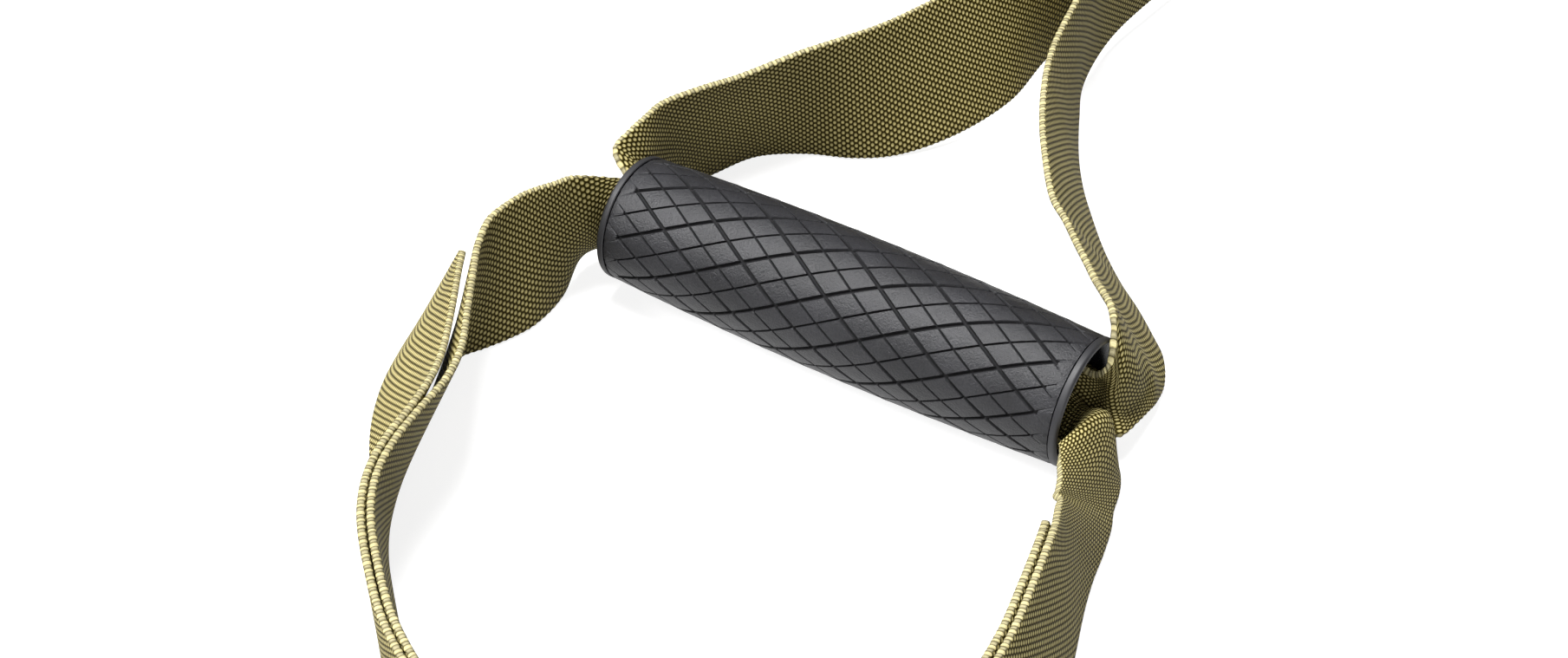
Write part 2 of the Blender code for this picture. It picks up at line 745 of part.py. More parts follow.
def eyed_strap_rows(length, first_wire, second_wire, count=short_eye_count):
    """A closed loop of webbing lying flat between two bars, with an eye round each."""
    first_radius = first_wire / 2 + fit_gap + webbing_thickness / 2
    second_radius = second_wire / 2 + fit_gap + webbing_thickness / 2
    first_level = first_radius + webbing_thickness / 2
    second_level = second_radius + webbing_thickness / 2
    low = webbing_thickness / 2
    high = low + layer_pitch
    across = Vector((0, 1, 0))
    neck = first_radius * 3
    far_neck = second_radius * 3
    first_leave = leave_angle(first_radius, neck, high - first_level)
    second_leave = math.pi - leave_angle(second_radius, far_neck, high - second_level)
    places = []
    for index in range(count):
        angle = -math.pi / 2 - (math.pi * 3 / 2 - first_leave) * index / (count - 1)
        places.append((first_radius * math.cos(angle), first_level + first_radius * math.sin(angle)))
    places += [(neck, high), (length - far_neck, high)]
    for index in range(count):
        angle = second_leave - (second_leave + math.pi / 2) * index / (count - 1)
        reach = second_radius * math.cos(angle)
        places.append((length + reach, second_level + second_radius * math.sin(angle)))
    places.append((length / 2, low))
    return [(Vector((place, 0, level)), across, 0.0) for place, level in places]


# Grip
def grip_sleeve(name, collection, material, pivot):
    """The barrel-shaped rubber sleeve, with a ring groove near each end."""
    half = sleeve_length / 2
    inner = core_radius + fit_gap
    groove = half - ring_groove_inset
    outer = [(grip_end_radius, half), (grip_end_radius, groove)]
    outer += [(grip_end_radius - ring_groove_depth, groove - ring_groove_width / 2)]
    shares = [1, 2 / 3, 1 / 3, 0, -1 / 3, -2 / 3, -1]
    barrel = groove - ring_groove_width
    outer += [(grip_end_radius + grip_crown * (1 - share ** 2), barrel * share) for share in shares]
    outer += [(grip_end_radius - ring_groove_depth, -groove + ring_groove_width / 2)]
    outer += [(grip_end_radius, -groove), (grip_end_radius, -half)]
    profile = outer + [(inner, -half), (inner, half)]
    return turned(name, profile, turn_steps, collection, material, pivot)


def grip_core(name, collection, material, pivot):
    """The rigid tube inside the sleeve, between the two caps' spigots."""
    half = sleeve_length / 2 - cap_spigot - fit_gap
    profile = [(core_radius, half), (core_radius, -half), (grip_bore_radius, -half), (grip_bore_radius, half)]
    return turned(name, profile, turn_steps, collection, material, pivot)


def grip_cap(name, collection, material, pivot, flip):
    """An end cap: a spigot inside the sleeve, a flange and a flared mouth."""
    seat = sleeve_length / 2 + fit_gap
    spigot = seat - cap_spigot - fit_gap
    face = grip_length / 2
    mouth = grip_bore_radius + mouth_flare
    flare_depth = cap_flange + mouth_flare
    profile = [
        (grip_end_radius - lip_rounding, face), (grip_end_radius, face - lip_rounding), (grip_end_radius, seat),
        (core_radius, seat), (core_radius, spigot), (grip_bore_radius, spigot),
        (grip_bore_radius, face - flare_depth), (grip_bore_radius + mouth_flare / 3, face - flare_depth / 2),
        (mouth - mouth_flare / 5, face - lip_rounding), (mouth, face),
    ]
    turn = (math.pi if flip else 0, 0, 0)
    return turned(name, profile, turn_steps, collection, material, pivot, rotation=turn)


def make_grip(side, collection, finishes, swing):
    """The grip's four pieces on a pivot whose Z lies along the bore."""
    pivot = make_empty(f"{side}_grip_pivot", collection, swing, grip_centre - link_bar)
    pivot.rotation_mode = "QUATERNION"
    pivot.rotation_quaternion = along.to_track_quat("Z", "Y")
    grip_sleeve(f"{side}_grip_sleeve", collection, finishes["rubber"], pivot)
    grip_core(f"{side}_grip_core", collection, finishes["core"], pivot)
    grip_cap(f"{side}_grip_cap_near", collection, finishes["cap"], pivot, False)
    grip_cap(f"{side}_grip_cap_far", collection, finishes["cap"], pivot, True)


# Rings
def link_ring(name, collection, material, carrier):
    """The upright ring between the handle strap and the main strap."""
    half_span = link_span / 2
    loop = rounded_loop(half_span, link_height / 2, [link_corner] * 4, corner_points)
    centre = (link_bar + main_bar) / 2
    middle = (link_height + link_wire) / 2
    points = [centre + apex_along * place + upright * (middle + height) for place, height in loop]
    return make_object(name, wire_curve(name, points, link_wire / 2, 2, True), collection, material, carrier)


def anchor_ring(name, collection, material):
    """The flat ring in the middle that both buckle straps and the anchor strap pass round."""
    level = anchor_wire / 2 + fit_gap + webbing_thickness
    loop = rounded_loop(anchor_bar_place, anchor_bar_place, [anchor_corner] * 4, corner_points)
    points = [Vector((place_x, place_y, level)) for place_x, place_y in loop]
    return make_object(name, wire_curve(name, points, anchor_wire / 2, 2, True), collection, material)


# Cam buckle, drawn along +X from its rear edge, with Y across and Z up
def cheek_loop():
    """The outline of a buckle's cheek, with X along the strap and Y up."""
    crown = cam_pin_level
    loop = [(0, 0), (buckle_length, 0), (buckle_length, cheek_front_height)]
    for index in range(7):
        angle = cheek_crown_start + cheek_crown_span * index / 6
        reach = Vector((math.cos(angle), math.sin(angle))) * cheek_crown_radius
        loop.append((cam_pin_place + reach.x, crown + reach.y))
    loop += [(bridge_place - bridge_width, bridge_level + bridge_height), (0, cheek_rear_height)]
    return loop


def buckle_frame(name, collection, tools, material, carrier):
    """The buckle's frame: two cheeks, rear bar, anvil and bridge joined into one casting."""
    inner = buckle_half_width
    outer = inner + cheek_thickness
    cheeks = []
    for label, sign in (("left", 1), ("right", -1)):
        curve = outline_curve(f"{name}_{label}_cheek", [cheek_loop()], cheek_thickness / 2)
        cheek = make_object(f"{name}_{label}_cheek", curve, tools, None, carrier,
                            (0, sign * (inner + outer) / 2, 0), (math.pi / 2, 0, 0))
        cheeks.append(hide_cutter(curve_to_mesh(cheek, edge_weld_distance)))
    body_low = (anvil_start, -inner - cheek_thickness / 2, 0)
    body_high = (buckle_length, inner + cheek_thickness / 2, anvil_thickness)
    frame = make_object(name, box_mesh(name, body_low, body_high), collection, material, carrier)
    bridge_low = (bridge_place - bridge_width / 2, -inner - cheek_thickness / 2, bridge_level)
    bridge_high = (bridge_place + bridge_width / 2, inner + cheek_thickness / 2, bridge_level + bridge_height)
    bridge = make_cutter(f"{name}_bridge", box_mesh(f"{name}_bridge", bridge_low, bridge_high), tools, carrier)
    bar_start = (rear_bar_place, -inner - cheek_thickness / 2, rear_bar_level)
    bar_end = (rear_bar_place, inner + cheek_thickness / 2, rear_bar_level)
    bar_mesh = rod_mesh(f"{name}_bar", rear_bar_wire / 2, bar_start, bar_end, small_turn_steps)
    bar = make_cutter(f"{name}_bar", bar_mesh, tools, carrier)
    hole_start = (cam_pin_place, -outer - cut_overrun, cam_pin_level)
    hole_end = (cam_pin_place, outer + cut_overrun, cam_pin_level)
    hole_mesh = rod_mesh(f"{name}_pin_hole", cam_pin_radius + fit_gap, hole_start, hole_end, small_turn_steps)
    hole = make_cutter(f"{name}_pin_hole", hole_mesh, tools, carrier)
    for joined in cheeks + [bridge, bar]:
        cut(frame, joined, "UNION")
    cut(frame, hole)
    return frame


def cam_outline():
    """The cam lever's outline about its pin, with X along the strap and Y up."""
    reach = cam_pin_level - anvil_thickness - fit_gap - webbing_thickness - fit_gap
    tilt = cam_lever_tilt
    run = Vector((math.cos(tilt), math.sin(tilt)))
    rise = Vector((-math.sin(tilt), math.cos(tilt)))
    tip = run * (cam_hub_radius + cam_lever_length)
    thick = cam_lever_thickness
    root = run * cam_hub_radius
    loop = [root - rise * thick / 2, tip - rise * thick / 2, tip + run * thick / 3, tip + rise * thick / 2]
    for index in range(5):
        angle = cam_back_start + cam_back_span * index / 4
        loop.append(Vector((math.cos(angle), math.sin(angle))) * cam_hub_radius)
    for index in range(cam_teeth):
        start = cam_tooth_start + cam_tooth_span * index / cam_teeth
        swell = cam_hub_radius + (reach - cam_hub_radius) * (index + 1) / cam_teeth
        root_radius = swell - cam_tooth
        loop.append(Vector((math.cos(start), math.sin(start))) * root_radius)
        point = start + cam_tooth_span / cam_teeth * 3 / 4
        loop.append(Vector((math.cos(point), math.sin(point))) * swell)
    end = cam_tooth_start + cam_tooth_span
    loop.append(Vector((math.cos(end), math.sin(end))) * (reach - cam_tooth))
    return loop


def cam_lever(name, collection, tools, material, carrier):
    """The toothed cam with its thumb lever, on its pin's axis."""
    curve = outline_curve(name, [cam_outline()], cam_half_width)
    lever = make_object(name, curve, collection, None, carrier, (0, 0, 0), (math.pi / 2, 0, 0))
    lever = curve_to_mesh(lever, edge_weld_distance)
    lever.data.materials.append(material)
    half = cam_half_width + cut_overrun
    radius = cam_pin_radius + fit_gap
    hole_mesh = rod_mesh(f"{name}_hole", radius, (0, -half, 0), (0, half, 0), small_turn_steps)
    cut(lever, make_cutter(f"{name}_hole", hole_mesh, tools, carrier))
    slot = cam_pin_radius + 2 * spring_gap + cam_spring_wire + fit_gap
    slot_low = (-2 * cam_hub_radius, -cam_slot_width / 2, -slot)
    slot_high = (slot, cam_slot_width / 2, 2 * cam_hub_radius)
    cut(lever, make_cutter(f"{name}_slot", box_mesh(f"{name}_slot", slot_low, slot_high), tools, carrier))
    return lever


def cam_pin(name, collection, material, carrier):
    """The cam's pin, with a head at each end outside the cheeks."""
    half = buckle_half_width + cheek_thickness + fit_gap
    top = half + cam_pin_head
    profile = [
        (0, top), (cam_pin_head_radius, top), (cam_pin_head_radius, half), (cam_pin_radius, half),
        (cam_pin_radius, -half), (cam_pin_head_radius, -half), (cam_pin_head_radius, -top), (0, -top),
    ]
    place = (cam_pin_place, 0, cam_pin_level)
    turn = (math.pi / 2, 0, 0)
    return turned(name, profile, small_turn_steps, collection, material, carrier, place, turn, False)


def cam_spring(name, collection, material, carrier):
    """The torsion spring round the pin, one leg on the lever's back and one on the bridge."""
    radius = cam_pin_radius + spring_gap + cam_spring_wire / 2
    pitch = cam_spring_wire + spring_gap
    points = []
    half = pitch * cam_spring_curls / 2
    for index in range(cam_spring_curls * wire_steps + 1):
        angle = math.pi / 2 + 2 * math.pi * index / wire_steps
        place = Vector((radius * math.cos(angle), -half + pitch * index / wire_steps, radius * math.sin(angle)))
        points.append(place)
    start = points[0] + Vector((-cam_spring_leg, 0, 0))
    end = points[-1] + Vector((-cam_spring_leg, 0, 0))
    points = [start] + points + [end]
    curve = wire_curve(name, points, cam_spring_wire / 2, 1)
    return make_object(name, curve, collection, material, carrier, (cam_pin_place, 0, cam_pin_level))


def pull_tab(name, collection, material, carrier):
    """The tab sewn on top of the main strap's free end."""
    level = 2 * layer_pitch + webbing_thickness + fit_gap + pull_tab_thickness / 2
    half_width = webbing_width / 2 - pull_tab_inset
    loop = rounded_loop(pull_tab_length / 2, half_width, [pull_tab_corner] * 4, corner_points)
    curve = outline_curve(name, [loop], pull_tab_thickness / 2)
    place = tail_end + pull_tab_length / 2
    return make_object(name, curve, collection, material, carrier, (0, place, level), (0, 0, math.pi / 2))


def strap_object(name, mesh, collection, material, carrier, pivot=None):
    """A strap whose points are in its side's frame, hung on a pivot in that frame."""
    if pivot is not None:
        mesh.transform(Matrix.Translation(-pivot))
    return make_object(name, mesh, collection, material, carrier)


# One side
def make_side(side, turn, collection, tools, finishes):
    """One handle with its straps, link ring and cam buckle."""
    frame = make_empty(f"{side}_side", collection, None, (0, 0, 0), (0, 0, turn))
    swing = make_empty(f"{side}_handle_pivot", collection, frame, link_bar)
    make_grip(side, collection, finishes, swing)
    handle = webbing_mesh(f"{side}_handle_strap", handle_strap_rows(), strips=webbing_strips)
    strap_object(f"{side}_handle_strap", handle, collection, finishes["webbing"], swing, link_bar)
    cradle = webbing_mesh(f"{side}_foot_cradle", cradle_rows(), strips=webbing_strips)
    strap_object(f"{side}_foot_cradle", cradle, collection, finishes["webbing"], swing, link_bar)
    link_ring(f"{side}_link_ring", collection, finishes["steel"], frame)
    main = webbing_mesh(f"{side}_main_strap", main_strap_rows())
    strap_object(f"{side}_main_strap", main, collection, finishes["webbing"], frame)
    pull_tab(f"{side}_pull_tab", collection, finishes["tab"], frame)
    base = make_empty(f"{side}_buckle_base", collection, frame, (0, buckle_start, 0), (0, 0, math.pi / 2))
    buckle_frame(f"{side}_buckle_frame", collection, tools, finishes["steel"], base)
    cam_pin(f"{side}_cam_pin", collection, finishes["steel"], base)
    cam_spring(f"{side}_cam_spring", collection, finishes["spring"], base)
    cam_pivot = make_empty(f"{side}_cam_pivot", collection, base, (cam_pin_place, 0, cam_pin_level))
    cam_lever(f"{side}_cam_lever", collection, tools, finishes["lever"], cam_pivot)
    rows = eyed_strap_rows(buckle_strap_length, anchor_wire, rear_bar_wire)
    short = webbing_mesh(f"{side}_buckle_strap", rows, closed=True)
    make_object(f"{side}_buckle_strap", short, collection, finishes["webbing"], frame,
                (0, anchor_bar_place, 0), (0, 0, math.pi / 2))


# Carabiner, drawn along +X from the bar that the anchor strap's eye holds
def carabiner_outline():
    """The centre line of the carabiner's rod, from the gate's nose round to the hinge."""
    half = gate_side
    far = carabiner_length - carabiner_rod
    points = [Vector((gate_nose_place, -half, 0))]
    corners = [
        (far - carabiner_large_corner, -half + carabiner_large_corner, carabiner_large_corner, -90),
        (far - carabiner_large_corner, half - carabiner_large_corner, carabiner_large_corner, 0),
        (carabiner_small_corner, half - carabiner_small_corner, carabiner_small_corner, 90),
        (carabiner_small_corner, -half + carabiner_small_corner, carabiner_small_corner, 180),
    ]
    for centre_x, centre_y, radius, start in corners:
        for index in range(carabiner_corner_points):
            angle = math.radians(start + 90 * index / (carabiner_corner_points - 1))
            points.append(Vector((centre_x + radius * math.cos(angle), centre_y + radius * math.sin(angle), 0)))
    points.append(Vector((gate_hinge_place - tongue_set_back, -half, 0)))
    return points


def carabiner_body(name, collection, tools, material, carrier):
    """The carabiner's rod with the tongue that the gate turns on."""
    half = gate_side
    curve = wire_curve(name, carabiner_outline(), carabiner_rod / 2, rod_bevel)
    rod = curve_to_mesh(make_object(name, curve, collection, None, carrier), edge_weld_distance)
    rod.data.shade_smooth()
    rod.data.set_sharp_from_angle(angle=math.radians(50))
    rod.data.materials.append(material)
    end_low = (gate_hinge_place, -half, -tongue_thickness / 2)
    end_high = (gate_hinge_place, -half, tongue_thickness / 2)
    tongue_end = rod_mesh(f"{name}_tongue_end", tongue_width / 2, end_low, end_high, small_turn_steps)
    low = (gate_hinge_place - tongue_set_back - cut_overrun, -half - tongue_width / 2, -tongue_thickness / 2)
    high = (gate_hinge_place, -half + tongue_width / 2, tongue_thickness / 2)
    cut(rod, make_cutter(f"{name}_tongue", box_mesh(f"{name}_tongue", low, high), tools, carrier), "UNION")
    cut(rod, make_cutter(f"{name}_tongue_end", tongue_end, tools, carrier), "UNION")
    hole = rod_mesh(f"{name}_hole", gate_pin_radius + fit_gap, (gate_hinge_place, -half, -carabiner_rod),
                    (gate_hinge_place, -half, carabiner_rod), small_turn_steps)
    cut(rod, make_cutter(f"{name}_hole", hole, tools, carrier))
    return rod


def carabiner_gate(name, collection, tools, material, pivot):
    """The gate: a rod slotted over the body's tongue and bored for its spring, on its pin's axis."""
    gate_mesh = rod_mesh(name, gate_rod / 2, (-gate_rear, 0, 0), (gate_length, 0, 0), small_turn_steps)
    gate = make_object(name, gate_mesh, collection, material, pivot)
    slot_half = tongue_thickness / 2 + fit_gap
    slot_end = tongue_width / 2 + plunger_head + 2 * fit_gap
    slot_low = (-gate_rear - cut_overrun, -gate_rod, -slot_half)
    slot_high = (slot_end, gate_rod, slot_half)
    cut(gate, make_cutter(f"{name}_slot", box_mesh(f"{name}_slot", slot_low, slot_high), tools, pivot))
    bore_start = (slot_end - cut_overrun, 0, 0)
    bore = rod_mesh(f"{name}_bore", gate_bore_radius, bore_start, (gate_bore_end, 0, 0), small_turn_steps)
    cut(gate, make_cutter(f"{name}_bore", bore, tools, pivot))
    radius = gate_pin_radius + fit_gap
    hole = rod_mesh(f"{name}_hole", radius, (0, 0, -gate_rod), (0, 0, gate_rod), small_turn_steps)
    cut(gate, make_cutter(f"{name}_hole", hole, tools, pivot))
    return gate


def gate_plunger(name, collection, material, pivot):
    """The push pin between the body's tongue and the gate's spring."""
    start = tongue_width / 2 + fit_gap
    head = start + plunger_head
    tip = head + plunger_length
    profile = [
        (0, tip), (plunger_radius / 2, tip), (plunger_radius / 2, head), (plunger_radius, head),
        (plunger_radius, start), (0, start),
    ]
    turn = (0, math.pi / 2, 0)
    return turned(name, profile, small_turn_steps, collection, material, pivot, (0, 0, 0), turn, False)


def gate_spring(name, collection, material, pivot):
    """The push spring in the gate's bore."""
    radius = gate_bore_radius - fit_gap - gate_spring_wire / 2
    start = tongue_width / 2 + plunger_head + 2 * fit_gap + gate_spring_wire / 2 + fit_gap
    end = gate_bore_end - fit_gap - gate_spring_wire / 2
    count = gate_spring_curls * wire_steps
    points = []
    for index in range(count + 1):
        angle = 2 * math.pi * index / wire_steps
        place = start + (end - start) * index / count
        points.append(Vector((place, radius * math.cos(angle), radius * math.sin(angle))))
    return make_object(name, wire_curve(name, points, gate_spring_wire / 2, 1), collection, material, pivot)


def make_anchor(collection, tools, finishes):
    """The anchor ring, its strap and the carabiner."""
    anchor_ring("anchor_ring", collection, finishes["steel"])
    rows = eyed_strap_rows(anchor_strap_length, anchor_wire, carabiner_rod)
    strap = webbing_mesh("anchor_strap", rows, anchor_webbing_width, closed=True)
    make_object("anchor_strap", strap, collection, finishes["webbing"], None, (anchor_bar_place, 0, 0))
    droop = math.asin((carabiner_level - carabiner_rod / 2) / (carabiner_length - carabiner_rod))
    start = (carabiner_start, 0, carabiner_level)
    pivot = make_empty("carabiner_pivot", collection, None, start, (0, droop, 0))
    carabiner_body("carabiner_body", collection, tools, finishes["alloy"], pivot)
    hinge = make_empty("gate_pivot", collection, pivot, (gate_hinge_place, -gate_side, 0))
    carabiner_gate("carabiner_gate", collection, tools, finishes["alloy"], hinge)
    reach = gate_rod / 2
    pin_low = (gate_hinge_place, -gate_side, -reach)
    pin_high = (gate_hinge_place, -gate_side, reach)
    pin = rod_mesh("gate_pin", gate_pin_radius, pin_low, pin_high, small_turn_steps)
    make_object("gate_pin", pin, collection, finishes["steel"], pivot)
    gate_plunger("gate_plunger", collection, finishes["steel"], hinge)
    gate_spring("gate_spring", collection, finishes["spring"], hinge)


def roll_self_gap():
    """The least distance between the faces of two turns of the roll, measured on its points."""
    points = roll_strand(math.pi, roll_far_angle)[::-1] + roll_heart() + roll_strand(0, 0)
    least = math.inf
    for first in range(len(points)):
        for second in range(first + roll_points // 2, len(points)):
            least = min(least, (points[first] - points[second]).length)
    return least - webbing_thickness


def strap_length(rows):
    """The length of a strap along its middle."""
    return sum((rows[index + 1][0] - rows[index][0]).length for index in range(len(rows) - 1))


def main():
    """Build the trainer."""
    clear_scene()
    collection = make_collection("suspension_trainer")
    tools = make_collection("cutters")
    finishes = {
        "webbing": make_material("webbing", (0.14, 0.115, 0.05), 0.85, 0),
        "rubber": make_material("rubber", (0.045, 0.045, 0.052), 0.55, 0),
        "core": make_material("core", (0.05, 0.05, 0.05), 0.5, 0),
        "cap": make_material("cap", (0.03, 0.03, 0.033), 0.4, 0),
        "steel": make_material("steel", (0.5, 0.5, 0.5), 0.35, 1),
        "lever": make_material("lever", (0.03, 0.03, 0.03), 0.45, 0),
        "spring": make_material("spring", (0.6, 0.6, 0.6), 0.3, 1),
        "tab": make_material("tab", (0.03, 0.03, 0.03), 0.6, 0),
        "alloy": make_material("alloy", (0.08, 0.08, 0.08), 0.4, 1),
    }
    make_side("left", 0, collection, tools, finishes)
    make_side("right", math.pi, collection, tools, finishes)
    make_anchor(collection, tools, finishes)
    print("least gap of the roll to itself", round(roll_self_gap(), 6))
    print("handle strap length", round(strap_length(handle_strap_rows()), 4))
    print("foot cradle length", round(strap_length(cradle_rows()), 4))
    print("main strap length", round(strap_length(main_strap_rows()), 4))


main()
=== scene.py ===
"""A suspension trainer on a pale floor: webbing, grips, buckles, rings and carabiner, dressed on its frame.

The left half is modelled and the right half is the same turned half round. Sizes are in metres.
"""

import logging
import math
from dataclasses import dataclass, field
from enum import Enum
from typing import Iterable, Sequence

import bmesh
import bpy
import numpy as np
from mathutils import Matrix, Vector


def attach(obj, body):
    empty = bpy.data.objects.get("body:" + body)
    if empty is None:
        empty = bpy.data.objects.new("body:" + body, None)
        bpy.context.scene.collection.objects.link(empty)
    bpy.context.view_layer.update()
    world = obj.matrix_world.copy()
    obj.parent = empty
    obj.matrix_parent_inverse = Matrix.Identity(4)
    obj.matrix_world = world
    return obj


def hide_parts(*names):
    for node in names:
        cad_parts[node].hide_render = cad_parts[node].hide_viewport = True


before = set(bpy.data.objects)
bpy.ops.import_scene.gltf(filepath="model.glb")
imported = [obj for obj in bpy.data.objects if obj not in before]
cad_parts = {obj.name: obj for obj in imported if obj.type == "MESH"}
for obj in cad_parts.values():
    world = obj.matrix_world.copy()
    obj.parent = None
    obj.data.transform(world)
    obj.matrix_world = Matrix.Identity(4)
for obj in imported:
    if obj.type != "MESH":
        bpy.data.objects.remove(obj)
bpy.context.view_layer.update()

LOG = logging.getLogger("trainer")
MM = 0.001
UP = Vector((0.0, 0.0, 1.0))
RouteRow = tuple[float, ...]

# Routes beside the left grip, in millimetres from its centre: the lower edge's x and y, then the upper edge's
NEAR_LEG: tuple[RouteRow, ...] = (
    (89, 146, 88, 146.5), (74, 126.5, 73, 127), (65, 107, 66, 108), (63, 94, 59.5, 94),
    (61.8, 79.5, 53.5, 80), (61.8, 66, 50.2, 67), (63.3, 51.6, 48.2, 51), (65.2, 39, 47.9, 38),
    (68.3, 26.4, 48.7, 23), (71.5, 16.9, 51.2, 14.6), (74.1, 7.2, 53.2, 6.3), (75.8, -0.7, 54.9, -0.6),
    (75.1, -9.5, 56.2, -8.2),
)
FAR_LEG: tuple[RouteRow, ...] = (
    (-35.3, 72.4, -36.9, 61.6), (-24, 80, -27, 67.5), (-10, 81.5, -12, 75.5), (3, 79.5, 0, 82),
    (14, 80.5, 9, 88.5), (29, 86.5, 21, 97.5), (45, 100, 37, 109), (57, 119, 54, 122), (81, 145, 79, 147),
)
CRADLE_LEG: tuple[RouteRow, ...] = ((60.5, -46.5, 43.3, -69.3), (58.7, -52, 42.3, -73))
NEAR_SIDE: tuple[RouteRow, ...] = ((56.6, -57, 41.7, -76),)
LOOP: tuple[RouteRow, ...] = (
    (54, -65, 41, -80.5), (51.2, -72.3, 40.2, -85), (48.5, -81, 39.5, -89), (45.2, -94.5, 37.7, -95),
    (41.8, -108, 33.5, -106.5), (36.5, -124, 27.7, -121), (25.7, -141, 18.7, -137), (9, -158, 5, -153),
    (-13, -169, -13, -165), (-38, -171, -38, -168), (-63, -160, -61, -158), (-83, -141.5, -81, -140.5),
    (-95, -120, -94, -120), (-99, -101, -100.5, -101), (-102, -86, -103.5, -86), (-105.2, -75, -103.2, -75),
    (-107.2, -65, -100.6, -65), (-107.8, -54.5, -96.5, -54.5), (-107.2, -43, -91.8, -43),
    (-105.3, -33, -89.6, -33), (-102.6, -21.5, -89.2, -21.5), (-99.3, -9, -88.9, -9),
)
FAR_SIDE: tuple[RouteRow, ...] = (
    (-97, 0.7, -88.5, 0.7), (-90.5, 4.8, -86.5, 9.5), (-84.6, 8.4, -83, 15), (-78.8, 13.4, -78.5, 19.5),
)
FLARED_END: tuple[RouteRow, ...] = (
    (-110.5, -43, -94.4, -43), (-112.5, -33, -93, -33), (-113.2, -21.5, -92.4, -21), (-112, -9, -92, -10),
    (-109.5, 1, -91.8, -5), (-105.7, 13, -91.5, 1.5),
)
# Rows at the grip's mouths: the strap's middle x, y and z, how far its upper edge leans over in x and y, and
# its curl in degrees
HANDLE_FAR_MOUTH: tuple[RouteRow, ...] = (
    (-50.2, 43.7, 17.3, 0, -4, 105), (-49, 48, 18, 0, -8, 65), (-47.5, 53, 18.5, -1, -9.5, 35),
    (-44, 59.5, 19, -3, -11, 15),
)
CRADLE_FAR_MOUTH: tuple[RouteRow, ...] = ((-71, 22, 19, 0.7, -2, 12), (-64.8, 26.3, 18.6, 2, -12, 65))
# Where the straps leave the near mouth: points across them, from the lower edge to the upper one
KNUCKLE: tuple[tuple[RouteRow, ...], ...] = (
    ((72, -17.8, 2.7), (70.3, -18.2, 11), (66, -18, 19.7), (61.7, -17.2, 28.2), (57.3, -16.6, 36.5)),
    ((69.7, -22.3, 4), (68.7, -20.3, 8.5), (65.5, -25.2, 19.5), (62.1, -23.2, 28.5), (58.3, -20.8, 37)),
    ((66.5, -28.3, 6), (65, -25.5, 9.5), (62.7, -28.7, 20.3), (60.9, -27.9, 28.5), (58.8, -24.9, 36)),
    ((64.2, -32, 7), (62.8, -28.5, 10), (61.2, -29.6, 19.3), (60.2, -28.6, 26), (59, -27, 32.5)),
    ((61.4, -35, 8), (60.6, -30.2, 10.5), (59.8, -29.8, 16.5), (59.3, -30.1, 22), (58.3, -30.3, 27.3)),
    ((53, -32.3, 6.9), (55.6, -28, 8.7), (57.6, -25, 13), (57.2, -25.5, 18.5), (55.2, -28.7, 21.9)),
    ((45.6, -29.9, 6.5), (49, -24.4, 7.8), (51.4, -20.6, 12.5), (51.7, -20.2, 19), (49.8, -23.2, 22.5)),
)
CREST: tuple[tuple[RouteRow, ...], ...] = (
    ((48.5, -21.6, 15.1), (46.5, -24.6, 11.1), (42.7, -30.8, 9.7), (39.9, -35.2, 12.5), (39.2, -36.4, 18.7)),
    ((54.3, -29.3, 11.2), (52.8, -31.6, 13.1), (50.2, -36.3, 13), (47.9, -40.4, 10.7), (47, -44.1, 14.3)),
    ((57.4, -34.8, 11.6), (58, -35.8, 15.6), (54.7, -39.4, 18.1), (50.2, -45.3, 19.5), (45.8, -51.1, 20.5)),
    ((60.6, -39.4, 3), (59.2, -41.2, 10), (55.5, -44.9, 15.5), (49.8, -52.2, 19.5), (44.6, -57.9, 23)),
    ((61.3, -42.2, 0.5), (57.7, -47.4, 7.6), (53.4, -52.9, 14), (48.8, -58.4, 19.3), (44.3, -63.4, 24)),
)


class Half(Enum):
    """The trainer's two halves, with the turn about the middle that places each."""

    LEFT = 0.0
    RIGHT = math.pi

    @property
    def label(self) -> str:
        """The half's name in the frame."""
        return self.name.lower()

    @property
    def turn(self) -> Matrix:
        """The matrix that turns the left half into this one."""
        return Matrix.Rotation(self.value, 4, "Z")


class Hold(Enum):
    """How a strap is held."""

    LAID = "laid"
    FOLDED = "folded"


@dataclass(frozen=True)
class Station:
    """One cross-section of a strap.

    Attributes:
        centre: The middle of the section.
        across: The direction from its lower edge to its upper one.
        curl: The angle that the section is rolled through, in radians.
        shape: Points from the lower edge to the upper one, where the section is neither flat nor evenly
            rolled.
    """

    centre: Vector
    across: Vector
    curl: float = 0.0
    shape: tuple[Vector, ...] = ()


